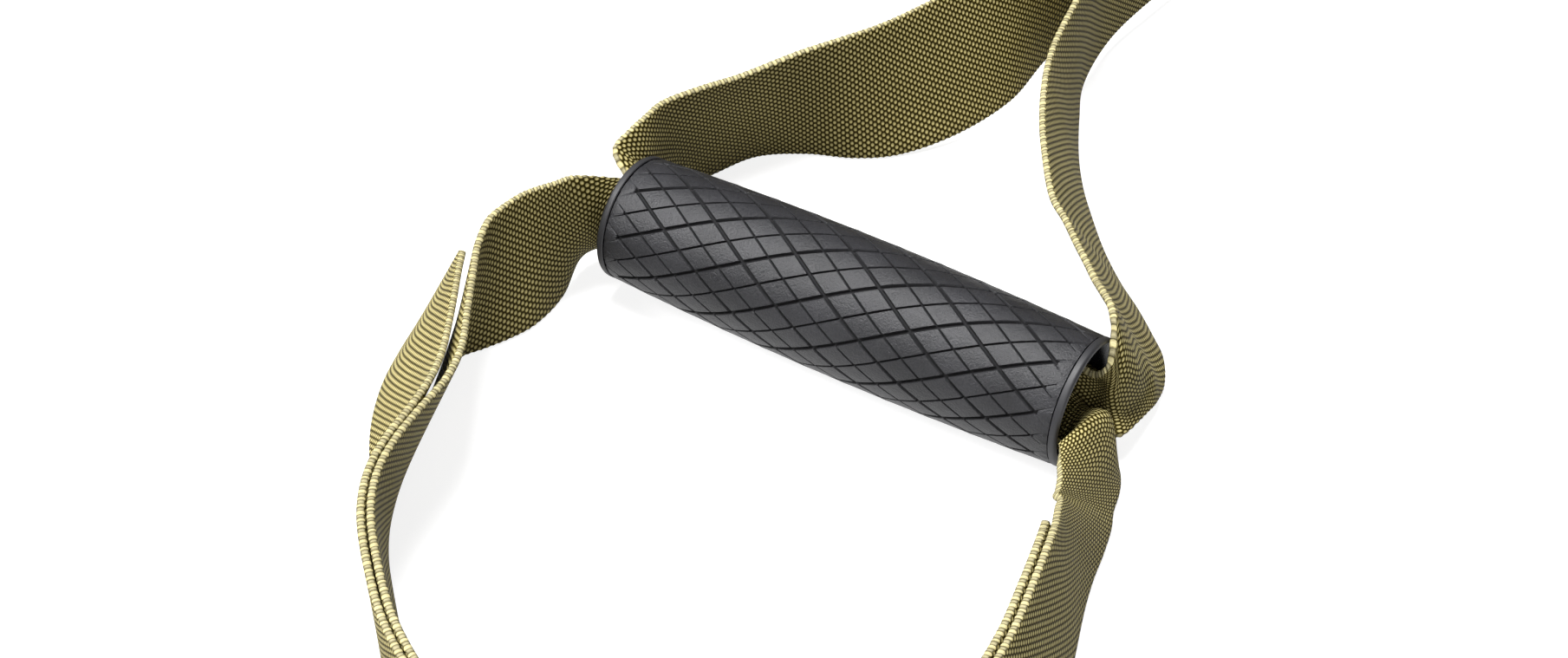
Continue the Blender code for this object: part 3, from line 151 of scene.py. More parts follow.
# ---------------------------------------------------------------------------------------------- node graphs
class Graph:
    """A material's node tree, with short calls for the nodes that the finishes use."""

    def __init__(self, name: str) -> None:
        """Start a Principled material.

        Args:
            name: The material's name.
        """
        self.material = bpy.data.materials.new(name)
        self.material.use_nodes = True
        self.tree = self.material.node_tree
        self.shader = self.tree.nodes["Principled BSDF"]

    def add(self, kind: str, **settings: object) -> bpy.types.Node:
        """Add a node and set its properties.

        Args:
            kind: The node's type.
            settings: Property names and values.

        Returns:
            The node.
        """
        node = self.tree.nodes.new(kind)
        for key, value in settings.items():
            setattr(node, key, value)
        return node

    def wire(self, target: bpy.types.NodeSocket, source: object) -> None:
        """Feed an input from a socket, or set it to a number or colour.

        Args:
            target: The input socket.
            source: An output socket, a number or a sequence.
        """
        if isinstance(source, bpy.types.NodeSocket):
            self.tree.links.new(source, target)
        elif isinstance(source, (int, float)):
            target.default_value = source
        else:
            values = tuple(source)
            target.default_value = (*values, 1.0) if len(values) < len(target.default_value) else values

    def math(self, operation: str, *values: object, clamp: bool = False) -> bpy.types.NodeSocket:
        """Add a Math node.

        Args:
            operation: The Math node's operation.
            values: One to three numbers or sockets.
            clamp: Whether the result is held between 0 and 1.

        Returns:
            The node's output.
        """
        node = self.add("ShaderNodeMath", operation=operation, use_clamp=clamp)
        for target, value in zip(node.inputs, values):
            self.wire(target, value)
        return node.outputs[0]

    def step(self, value: object, low: float, high: float) -> bpy.types.NodeSocket:
        """Ease a value from 0 at low to 1 at high.

        Args:
            value: The value to read.
            low: Where the result leaves 0.
            high: Where it reaches 1.

        Returns:
            The eased value.
        """
        node = self.add("ShaderNodeMapRange", interpolation_type="SMOOTHSTEP")
        self.wire(node.inputs["Value"], value)
        node.inputs["From Min"].default_value = low
        node.inputs["From Max"].default_value = high
        return node.outputs["Result"]

    def mix(self, share: object, first: object, second: object, blend: str = "MIX") -> bpy.types.NodeSocket:
        """Mix two colours.

        Args:
            share: The second colour's share.
            first: The first colour.
            second: The second colour.
            blend: The blending mode.

        Returns:
            The mixed colour.
        """
        node = self.add("ShaderNodeMix", data_type="RGBA", blend_type=blend)
        self.wire(node.inputs["Factor"], share)
        self.wire(node.inputs[6], first)
        self.wire(node.inputs[7], second)
        return node.outputs[2]

    def place(self, scale: Sequence[float] = (1, 1, 1)) -> bpy.types.NodeSocket:
        """Object coordinates, scaled.

        Args:
            scale: The mapping's scale.

        Returns:
            The mapped coordinates.
        """
        coordinates = self.add("ShaderNodeTexCoord")
        mapping = self.add("ShaderNodeMapping")
        self.wire(mapping.inputs["Vector"], coordinates.outputs["Object"])
        mapping.inputs["Scale"].default_value = scale
        return mapping.outputs["Vector"]

    def attribute(self, name: str) -> bpy.types.NodeSocket:
        """The value of one of the mesh's attributes."""
        return self.add("ShaderNodeAttribute", attribute_name=name).outputs["Fac"]

    def noise(self, vector: object, scale: float, detail: float = 3.0,
              roughness: float = 0.55) -> bpy.types.NodeSocket:
        """Add a Noise texture.

        Args:
            vector: The coordinates.
            scale: The texture's scale.
            detail: Its octaves.
            roughness: How strong the finer octaves are.

        Returns:
            The noise value.
        """
        node = self.add("ShaderNodeTexNoise")
        self.wire(node.inputs["Vector"], vector)
        node.inputs["Scale"].default_value = scale
        node.inputs["Detail"].default_value = detail
        node.inputs["Roughness"].default_value = roughness
        return node.outputs["Fac"]

    def ramp(self, value: object, stops: Iterable[tuple[float, Sequence[float]]]) -> bpy.types.NodeSocket:
        """Colour a value by a ramp.

        Args:
            value: The value to read.
            stops: Places and colours.

        Returns:
            The colour.
        """
        node = self.add("ShaderNodeValToRGB")
        self.wire(node.inputs["Fac"], value)
        elements = node.color_ramp.elements
        for index, (position, colour) in enumerate(stops):
            element = elements[index] if index < len(elements) else elements.new(position)
            element.position = position
            element.color = (*colour, 1.0)
        return node.outputs["Color"]

    def shades(self, value: object, low: float, high: float, colour: Sequence[float],
               share: float) -> bpy.types.NodeSocket:
        """Colour a value from a darker shade of a colour to the colour itself.

        Args:
            value: The value to read.
            low: Where the darker shade ends.
            high: Where the full colour begins.
            colour: The colour.
            share: The darker shade's share of it.

        Returns:
            The colour.
        """
        return self.ramp(value, [(low, tuple(part * share for part in colour)), (high, colour)])

    def tint(self, colour: object, value: object, low: float, high: float,
             dark: Sequence[float]) -> bpy.types.NodeSocket:
        """Darken a colour where a value is low.

        Args:
            colour: The colour.
            value: The value to read.
            low: Where the tint is full.
            high: Where it has gone.
            dark: The tint.

        Returns:
            The tinted colour.
        """
        return self.mix(1.0, colour, self.ramp(value, [(low, dark), (high, (1.0, 1.0, 1.0))]), "MULTIPLY")

    def vary(self, base: object, value: object, span: float) -> bpy.types.NodeSocket:
        """A base with a multiple of a value added."""
        return self.math("ADD", base, self.math("MULTIPLY", value, span))

    def bump(self, height: object, distance: float, strength: float) -> bpy.types.NodeSocket:
        """Add a Bump node.

        Args:
            height: The height to read.
            distance: The height in metres that a value of 1 stands for.
            strength: How strong the bump is.

        Returns:
            The bumped normal.
        """
        node = self.add("ShaderNodeBump")
        self.wire(node.inputs["Height"], height)
        node.inputs["Distance"].default_value = distance
        node.inputs["Strength"].default_value = strength
        return node.outputs["Normal"]

    def finish(self, colour: object, roughness: object, normal: object = None,
               **constants: object) -> bpy.types.Material:
        """Wire the shader.

        Args:
            colour: The base colour.
            roughness: The roughness.
            normal: The bumped normal, if any.
            constants: Other inputs of the shader, spaces written as underscores, with plain values.

        Returns:
            The material.
        """
        self.wire(self.shader.inputs["Base Color"], colour)
        self.wire(self.shader.inputs["Roughness"], roughness)
        if normal is not None:
            self.wire(self.shader.inputs["Normal"], normal)
        for key, value in constants.items():
            self.wire(self.shader.inputs[key.replace("_", " ")], value)
        return self.material


# ------------------------------------------------------------------------------------------------- finishes
@dataclass(frozen=True)
class WebbingFinish:
    """Woven olive webbing: picks across the strap like laid bricks, painted shade in the gaps, a painted
    highlight on the crowns and beaded selvages, some wear.

    Attributes:
        name: The material's name.
        width: The strap's width.
        float_length: The distance across from one pick's float to the next.
        pick: The distance along from one row of picks to the next.
        gap_shade_colour: The painted shade between the yarns.
        shaded_flank_colour: The colour of a yarn's sides, partly painted shade.
        crown_highlight_colour: The colour of its top, with a painted highlight.
        selvage_highlight_colour: The painted highlight on the beads at the edges.
        selvage: The width of the beaded band at each edge.
        sway: How far the rows wander along the strap.
        relief: The height of the floats.
        sheen: The level of the mirrored light, low because the yarn is matt.
    """

    name: str = "olive_webbing"
    width: float = 0.038
    float_length: float = 0.00172
    pick: float = 0.00104
    gap_shade_colour: tuple[float, float, float] = (0.036, 0.027, 0.004)
    shaded_flank_colour: tuple[float, float, float] = (0.160, 0.126, 0.034)
    crown_highlight_colour: tuple[float, float, float] = (0.66, 0.575, 0.265)
    selvage_highlight_colour: tuple[float, float, float] = (0.54, 0.49, 0.30)
    selvage: float = 0.0007
    sway: float = 0.00022
    relief: float = 0.00040
    sheen: float = 0.04

    def from_middle(self, graph: Graph, value: object) -> bpy.types.NodeSocket:
        """The distance from the middle of each whole step, 0 at the middle and 1 at its ends."""
        inside = graph.math("SUBTRACT", graph.math("FRACT", value), 0.5)
        return graph.math("MULTIPLY", graph.math("ABSOLUTE", inside), 2.0)

    def floats(self, graph: Graph, across: object, run: object) -> bpy.types.NodeSocket:
        """The height of the picks' floats, 0 in the gaps and 1 on their crowns.

        Args:
            graph: The material's graph.
            across: The distance across the strap.
            run: The distance along it.

        Returns:
            The height.
        """
        row = graph.math("DIVIDE", run, self.pick)
        ends = graph.math("POWER", graph.math("MULTIPLY", self.from_middle(graph, row), 0.97), 2.4)
        odd = graph.math("FLOORED_MODULO", graph.math("FLOOR", row), 2.0)
        column = graph.vary(graph.math("DIVIDE", across, self.float_length), odd, 0.5)
        sides = graph.math("POWER", graph.math("MULTIPLY", self.from_middle(graph, column), 1.22), 2.0)
        left = graph.math("SUBTRACT", 1.0, graph.math("ADD", sides, ends))
        return graph.math("POWER", graph.math("MAXIMUM", left, 0.0), 0.5)

    def material(self) -> bpy.types.Material:
        """Make the material.

        Returns:
            The webbing material, which reads the strap's UV map in metres.
        """
        graph = Graph(self.name)
        uv = graph.add("ShaderNodeUVMap", uv_map="strap")
        parts = graph.add("ShaderNodeSeparateXYZ")
        graph.wire(parts.inputs[0], uv.outputs[0])
        across, run = parts.outputs[0], parts.outputs[1]
        wander = graph.noise(graph.place(), 150.0, 2.0)
        shifted = graph.vary(run, graph.math("SUBTRACT", wander, 0.5), self.sway)
        picks = self.floats(graph, across, shifted)
        fibres = graph.noise(uv.outputs[0], 7000.0, 2.0)
        patches = graph.noise(graph.place(), 34.0, 4.0)
        # The floats' colour runs from painted shade in the gaps, through shaded sides, to a painted highlight
        # on the crowns.
        colour = graph.ramp(picks, [(0.10, self.gap_shade_colour), (0.60, self.shaded_flank_colour),
                                    (0.92, self.crown_highlight_colour)])
        # A painted highlight on the beaded selvages, brightest in the middle of each row.
        edge = graph.step(graph.math("ABSOLUTE", across), self.width / 2 - self.selvage, self.width / 2)
        turns = graph.math("SUBTRACT", 1.0, self.from_middle(graph, graph.math("DIVIDE", shifted, self.pick)))
        beads = graph.math("MULTIPLY", edge, graph.vary(0.25, turns, 0.6))
        colour = graph.mix(beads, colour, self.selvage_highlight_colour)
        colour = graph.tint(colour, patches, 0.3, 0.7, (0.82, 0.81, 0.78))
        colour = graph.tint(colour, fibres, 0.35, 0.65, (0.74, 0.74, 0.72))
        normal = graph.bump(graph.vary(picks, fibres, 0.25), self.relief, 0.9)
        return graph.finish(colour, graph.vary(0.50, patches, 0.2), normal, Specular_IOR_Level=self.sheen)


@dataclass(frozen=True)
class RubberFinish:
    """Dark moulded rubber with a fine grain, each pad given a little painted shade of its own, for the light
    that its tilt catches.

    Attributes:
        name: The material's name.
        colour: The rubber's colour.
        roughness: Its roughness.
        grain: The height of its grain.
        pads: Whether it reads the attributes of the sleeve's pads and grooves, which carry their painted
            shade.
        groove_shade_colour: The painted shade at the bottom of the grooves.
    """

    name: str
    colour: tuple[float, float, float] = (0.021, 0.021, 0.024)
    roughness: float = 0.42
    grain: float = 0.00024
    pads: bool = False
    groove_shade_colour: tuple[float, float, float] = (0.004, 0.004, 0.005)

    def material(self) -> bpy.types.Material:
        """Make the material.

        Returns:
            The rubber material.
        """
        graph = Graph(self.name)
        place = graph.place()
        grain = graph.noise(place, 1900.0, 3.0, 0.7)
        cloud = graph.noise(place, 70.0, 4.0)
        dark = tuple(value * 0.72 for value in self.colour)
        light = tuple(value * 1.25 for value in self.colour)
        colour = graph.ramp(cloud, [(0.3, dark), (0.72, light)])
        if self.pads:
            # Painted shade: each pad darkened a little by its own value, for the light that its tilt would
            # catch.
            colour = graph.tint(colour, graph.attribute("pad_shade"), 0.0, 1.0, (0.78, 0.78, 0.79))
        colour = graph.tint(colour, grain, 0.38, 0.62, (0.66, 0.66, 0.68))
        rough = graph.vary(self.roughness - 0.08, grain, 0.2)
        if self.pads:
            # Painted shade at the bottom of the grooves, which also grow rougher there.
            groove = graph.attribute("groove")
            colour = graph.mix(groove, colour, self.groove_shade_colour)
            rough = graph.math("ADD", rough, graph.math("MULTIPLY", groove, 0.45), clamp=True)
        return graph.finish(colour, rough, graph.bump(grain, self.grain, 0.9), Specular_IOR_Level=0.4)


@dataclass(frozen=True)
class MetalFinish:
    """Brushed, plated or anodised metal with fine scratches and dulled patches.

    Attributes:
        name: The material's name.
        colour: The metal's colour.
        roughness: Its roughness.
        scratch: The depth of the scratches.
    """

    name: str
    colour: tuple[float, float, float]
    roughness: float = 0.32
    scratch: float = 0.00002

    def material(self) -> bpy.types.Material:
        """Make the material.

        Returns:
            The metal material.
        """
        graph = Graph(self.name)
        place = graph.place()
        cloud = graph.noise(place, 90.0, 5.0)
        fine = graph.noise(graph.place(scale=(1.0, 6.0, 1.0)), 900.0, 4.0, 0.7)
        colour = graph.shades(cloud, 0.3, 0.65, self.colour, 0.7)
        colour = graph.tint(colour, fine, 0.4, 0.6, (0.86, 0.86, 0.86))
        rough = graph.vary(self.roughness - 0.1, fine, 0.26)
        return graph.finish(colour, rough, graph.bump(fine, self.scratch, 0.5), Metallic=1.0)


@dataclass(frozen=True)
class PlasticFinish:
    """Moulded plastic with a faint satin texture.

    Attributes:
        name: The material's name.
        colour: The plastic's colour.
        roughness: Its roughness.
        grain: The height of its texture.
    """

    name: str
    colour: tuple[float, float, float]
    roughness: float = 0.35
    grain: float = 0.00002

    def material(self) -> bpy.types.Material:
        """Make the material.

        Returns:
            The plastic material.
        """
        graph = Graph(self.name)
        place = graph.place()
        grain = graph.noise(place, 1800.0, 3.0)
        cloud = graph.noise(place, 120.0, 3.0)
        colour = graph.shades(cloud, 0.3, 0.7, self.colour, 0.75)
        rough = graph.vary(self.roughness - 0.06, cloud, 0.14)
        return graph.finish(colour, rough, graph.bump(grain, self.grain, 0.5), Specular_IOR_Level=0.5)


@dataclass(frozen=True)
class CapFinish:
    """A cap's skin: grained rubber outside, black and glossy in its funnel.

    Attributes:
        name: The material's name.
        rubber: The colour of the flange.
        gloss: The colour of the funnel.
    """

    name: str = "cap_skin"
    rubber: tuple[float, float, float] = (0.020, 0.020, 0.023)
    gloss: tuple[float, float, float] = (0.008, 0.008, 0.009)

    def material(self) -> bpy.types.Material:
        """Make the material.

        Returns:
            The cap's material, which reads the attribute of its funnel.
        """
        graph = Graph(self.name)
        grain = graph.noise(graph.place(), 2600.0, 3.0, 0.7)
        cloud = graph.noise(graph.place(), 70.0, 4.0)
        funnel = graph.attribute("funnel")
        colour = graph.mix(funnel, graph.shades(cloud, 0.3, 0.7, self.rubber, 0.72), self.gloss)
        rough = graph.vary(graph.vary(0.42, grain, 0.2), funnel, -0.24)
        return graph.finish(colour, rough, graph.bump(grain, 0.00003, 0.5), Specular_IOR_Level=0.5)


@dataclass(frozen=True)
class ThreadFinish:
    """Sewing thread with a twisted ply."""

    name: str = "sewing_thread"
    colour: tuple[float, float, float] = (0.42, 0.38, 0.22)

    def material(self) -> bpy.types.Material:
        """Make the material.

        Returns:
            The thread material.
        """
        graph = Graph(self.name)
        ply = graph.noise(graph.place(), 4200.0, 2.0)
        colour = graph.shades(ply, 0.35, 0.6, self.colour, 0.45)
        return graph.finish(colour, graph.vary(0.5, ply, 0.2), graph.bump(ply, 0.0001, 0.7))


@dataclass(frozen=True)
class FloorFinish:
    """The white studio floor, which keeps the trainer's soft shadow.

    Attributes:
        name: The material's name.
        albedo: How much light it gives back.
        glow: The white added where the camera sees it.
    """

    name: str = "studio_floor"
    albedo: float = 0.32
    glow: float = 0.84

    def material(self) -> bpy.types.Material:
        """Make the material.

        Returns:
            The floor's material.
        """
        graph = Graph(self.name)
        path = graph.add("ShaderNodeLightPath")
        bounced = graph.math("MAXIMUM", path.outputs["Is Glossy Ray"], path.outputs["Is Transmission Ray"])
        seen = graph.math("MAXIMUM", path.outputs["Is Camera Ray"], bounced)
        grain = graph.noise(graph.place(), 40.0, 4.0)
        shade = graph.vary(self.albedo - 0.01, grain, 0.02)
        tint = graph.add("ShaderNodeCombineColor")
        for target in tint.inputs:
            graph.wire(target, shade)
        graph.finish(tint.outputs[0], 0.9, Specular_IOR_Level=0.0)
        glow = graph.add("ShaderNodeEmission")
        graph.wire(glow.inputs["Strength"], graph.math("MULTIPLY", seen, self.glow))
        total = graph.add("ShaderNodeAddShader")
        graph.wire(total.inputs[0], graph.shader.outputs[0])
        graph.wire(total.inputs[1], glow.outputs[0])
        output = next(node for node in graph.tree.nodes if node.type == "OUTPUT_MATERIAL")
        graph.wire(output.inputs["Surface"], total.outputs[0])
        return graph.material


@dataclass
class Wardrobe:
    """Every finish of the trainer, made once."""

    webbing: bpy.types.Material = field(init=False)
    narrow_webbing: bpy.types.Material = field(init=False)
    rubber: bpy.types.Material = field(init=False)
    cap: bpy.types.Material = field(init=False)
    core: bpy.types.Material = field(init=False)
    steel: bpy.types.Material = field(init=False)
    spring: bpy.types.Material = field(init=False)
    buckle: bpy.types.Material = field(init=False)
    cam: bpy.types.Material = field(init=False)
    alloy: bpy.types.Material = field(init=False)
    tab: bpy.types.Material = field(init=False)
    thread: bpy.types.Material = field(init=False)

    def __post_init__(self) -> None:
        """Make the materials."""
        self.webbing = WebbingFinish().material()
        self.narrow_webbing = WebbingFinish("narrow_webbing", width=0.025).material()
        self.rubber = RubberFinish("grip_rubber_skin", pads=True).material()
        self.cap = CapFinish().material()
        self.core = PlasticFinish("core_plastic_skin", (0.05, 0.05, 0.05), 0.5).material()
        self.steel = MetalFinish("plated_steel", (0.56, 0.55, 0.53), 0.28).material()
        self.spring = MetalFinish("spring_wire", (0.62, 0.62, 0.62), 0.25).material()
        self.buckle = MetalFinish("dark_cast_metal", (0.15, 0.15, 0.155), 0.42).material()
        self.cam = MetalFinish("cam_black_metal", (0.085, 0.085, 0.09), 0.4).material()
        self.alloy = MetalFinish("anodised_alloy", (0.20, 0.20, 0.21), 0.34).material()
        self.tab = RubberFinish("tab_cloth", (0.030, 0.030, 0.032), 0.75, 0.0001).material()
        self.thread = ThreadFinish().material()


# --------------------------------------------------------------------------------------------------- straps
@dataclass
class Trainer:
    """The trainer's main sizes and the places worked out from them.

    Attributes:
        webbing_width: The straps' width.
        webbing_thickness: Their thickness.
        anchor_width: The width of the strap at the carabiner.
        fit_gap: The gap between pieces that touch.
        grip_length: The grip's length over its caps.
        grip_end_radius: Its radius at the ends.
        grip_crown: How far its middle swells past that.
        grip_bore: The radius of its bore.
        grip_turn: The grip's heading, from the X axis.
        cradle_bore_radius: The radius that the cradle curls to in the bore.
        handle_bore_radius: The radius that the handle strap curls to there.
        mouth_inset: How far inside the near mouth the straps begin to bend.
        link_wire: The link ring's wire.
        link_clear: The ring's clear height.
        link_span: The distance between its two bars.
        apex_neck: The distance from a bar to where the webbing round it is sewn together.
        apex_sewn: The length of that sewn stretch on the handle strap.
        apex_inset: How far each sewn tail falls short of it.
        main_sewn: The length of the sewn stretch on the main strap.
        roll_core: The radius at which the main strap's roll begins.
        roll_gap: The gap between its layers.
        roll_turns: How many turns each strand makes.
        roll_y: The roll's place.
        anchor_wire: The anchor ring's wire.
        anchor_clear: The clear space inside it.
        buckle_strap: The distance between the bars that the buckle's strap joins.
        anchor_strap: The distance between the bars that the anchor strap joins.
        buckle_length: The buckle's length.
        buckle_wire: The diameter of its bars.
        buckle_anvil: The height of the plate that the cam presses on.
        buckle_inset: The distance from the buckle's end to its rear bar.
        carabiner_wire: The carabiner's diameter.
        tail_end: Where the main strap's free end lies.
        seam_margin: The distance from a seam to the webbing's edge.
        pitch: The distance between two layers of webbing that lie on each other.
        grip_centre: The middle of the left grip.
        along: The direction from the grip's far mouth to its near one.
        behind: The level direction across the grip, away from the camera.
        apex_along: The direction from the grip's side to the link ring.
        apex_left: The direction to its left.
        link_bar: The link ring's bar on the grip's side.
        main_bar: Its bar on the main strap's side.
    """

    webbing_width: float = 0.038
    webbing_thickness: float = 0.0018
    anchor_width: float = 0.025
    fit_gap: float = 0.0003
    grip_length: float = 0.127
    grip_end_radius: float = 0.016
    grip_crown: float = 0.0015
    grip_bore: float = 0.0125
    grip_turn: float = math.radians(-32.26)
    cradle_bore_radius: float = 0.0085
    handle_bore_radius: float = 0.0112
    mouth_inset: float = 0.024
    link_wire: float = 0.005
    link_clear: float = 0.040
    link_span: float = 0.026
    apex_neck: float = 0.008
    apex_sewn: float = 0.040
    apex_inset: float = 0.006
    main_sewn: float = 0.035
    roll_core: float = 0.007
    roll_gap: float = 0.0005
    roll_turns: int = 4
    roll_y: float = 0.197
    anchor_wire: float = 0.006
    anchor_clear: float = 0.040
    buckle_strap: float = 0.060
    anchor_strap: float = 0.050
    buckle_length: float = 0.048
    buckle_wire: float = 0.005
    buckle_anvil: float = 0.0025
    buckle_inset: float = 0.006
    carabiner_wire: float = 0.010
    tail_end: float = 0.040
    seam_margin: float = 0.0045
    pitch: float = field(init=False)
    grip_centre: Vector = field(init=False)
    along: Vector = field(init=False)
    behind: Vector = field(init=False)
    apex_along: Vector = field(init=False)
    apex_left: Vector = field(init=False)
    link_bar: Vector = field(init=False)
    main_bar: Vector = field(init=False)

    def __post_init__(self) -> None:
        """Work out the places."""
        self.pitch = self.webbing_thickness + self.fit_gap
        self.grip_centre = Vector((-0.285, -0.049, self.grip_end_radius + self.grip_crown))
        self.along = Vector((math.cos(self.grip_turn), math.sin(self.grip_turn), 0))
        self.behind = Vector((-math.sin(self.grip_turn), math.cos(self.grip_turn), 0))
        turn = math.radians(48)
        self.apex_along = Vector((math.cos(turn), math.sin(turn), 0))
        self.apex_left = Vector((-math.sin(turn), math.cos(turn), 0))
        self.link_bar = Vector((self.grip_centre.x + 0.1395, self.grip_centre.y + 0.205, 0))
        self.main_bar = self.link_bar + self.apex_along * self.link_span

    @property
    def link_lift(self) -> float:
        """The height at which the straps stand on the link ring's lower wire."""
        return self.link_wire + (self.link_clear - self.webbing_width) / 2

    @property
    def link_eye(self) -> float:
        """The radius of a strap's middle round the link ring's wire."""
        return self.link_wire / 2 + self.fit_gap + self.webbing_thickness / 2

    @property
    def anchor_bar(self) -> float:
        """The distance from the middle to the anchor ring's bars."""
        return (self.anchor_clear + self.anchor_wire) / 2

    @property
    def ground(self) -> Vector:
        """The point of the floor under the grip's centre."""
        return Vector((self.grip_centre.x, self.grip_centre.y, 0))

    def lean(self, x: float, y: float) -> Vector:
        """The direction across a strap whose upper edge leans over.

        Args:
            x: The upper edge's offset in x, in millimetres.
            y: The same in y.

        Returns:
            The unit direction.
        """
        offset = Vector((x, y, 0)) * MM
        rise = math.sqrt(max(self.webbing_width ** 2 - offset.length ** 2, 0.0))
        return Vector((offset.x, offset.y, rise)) / self.webbing_width

    def rail(self, row: RouteRow, lift: float = 0.0) -> Station:
        """A station that stands on its lower edge.

        Args:
            row: The lower and upper edges' places.
            lift: The lower edge's height.

        Returns:
            The station.
        """
        low_x, low_y, high_x, high_y = row
        across = self.lean(high_x - low_x, high_y - low_y)
        middle = Vector(((low_x + high_x) / 2, (low_y + high_y) / 2, 0)) * MM + self.ground
        level = (across.z * self.webbing_width + math.hypot(across.x, across.y) * self.webbing_thickness) / 2
        return Station(middle + UP * (lift + level), across)

    def mouth(self, row: RouteRow) -> Station:
        """A station at one of the grip's mouths.

        Args:
            row: The middle's place, the upper edge's lean and the curl in degrees.

        Returns:
            The station.
        """
        x, y, z, lean_x, lean_y, curl = row
        return Station(Vector((x, y, z)) * MM + self.ground, self.lean(lean_x, lean_y), math.radians(curl))

    def bore(self, place: float, angle: float, radius: float, facing: int) -> Station:
        """A station inside the grip, where the strap lies curled against the wall.

        Args:
            place: The distance along the grip from its middle.
            angle: The strap's middle, in radians from the top.
            radius: The radius that the strap curls to.
            facing: 1 or -1, the side that its upper edge is on.

        Returns:
            The station.
        """
        outward = UP * math.cos(angle) + self.behind * math.sin(angle)
        across = (UP * math.sin(angle) - self.behind * math.cos(angle)) * facing
        centre = self.grip_centre + self.along * place + outward * radius
        return Station(centre, across, self.webbing_width / radius)

    def knuckle(self, points: Sequence[RouteRow]) -> Station:
        """A station with its section drawn point by point.

        Args:
            points: The places across it, from its lower edge to its upper one.

        Returns:
            The station.
        """
        shape = tuple(Vector(point) * MM + self.ground for point in points)
        return Station(shape[len(shape) // 2], (shape[-1] - shape[0]).normalized(), 0.0, shape)

    def bores(self, far: float, near: float, radius: float, facing: int, count: int,
              inset: float = 0.0) -> list[Station]:
        """Stations right through the grip, from its far mouth to its near one.

        Args:
            far: The strap's angle at the far mouth, in degrees.
            near: Its angle at the near mouth.
            radius: The radius that it curls to.
            facing: The side that its upper edge is on.
            count: How many stations.
            inset: How far inside the near mouth the last one is.

        Returns:
            The stations.
        """
        shares = [index / (count - 1) for index in range(count)]
        reach, run = self.grip_length / 2, self.grip_length - inset
        return [self.bore(run * share - reach, math.radians(far + (near - far) * share), radius, facing)
                for share in shares]

    def standing(self, point: Vector, lift: float = 0.0) -> Station:
        """A station where the strap stands straight up on edge.

        Args:
            point: The place.
            lift: The lower edge's height.

        Returns:
            The station.
        """
        return Station(Vector((point.x, point.y, lift + self.webbing_width / 2)), UP.copy())


def between(first: Station, last: Station, count: int) -> list[Station]:
    """Stations on the straight line between two, so that a sewn stretch stays straight.

    Args:
        first: The station before.
        last: The station after.
        count: How many to add.

    Returns:
        The added stations, without the two given.
    """
    shares = [(index + 1) / (count + 1) for index in range(count)]
    return [Station(first.centre.lerp(last.centre, share), first.across.lerp(last.across, share))
            for share in shares]


def eye_points(bar: Vector, direction: Vector, left: Vector, radius: float, count: int) -> list[Vector]:
    """Points round a bar, from its left side over the end to its right side.

    Args:
        bar: The bar's place.
        direction: The direction over the end.
        left: The direction to the left side.
        radius: The distance from the bar's middle.
        count: How many points.

    Returns:
        The points.
    """
    angles = [math.pi * index / (count - 1) for index in range(count)]
    return [bar + left * radius * math.cos(angle) + direction * radius * math.sin(angle) for angle in angles]


def placed(name: str, data: bpy.types.ID) -> bpy.types.Object:
    """Put a mesh, lamp or camera into the scene.

    Args:
        name: The object's name.
        data: What it holds.

    Returns:
        The object.
    """
    item = bpy.data.objects.new(name, data)
    bpy.context.scene.collection.objects.link(item)
    return item


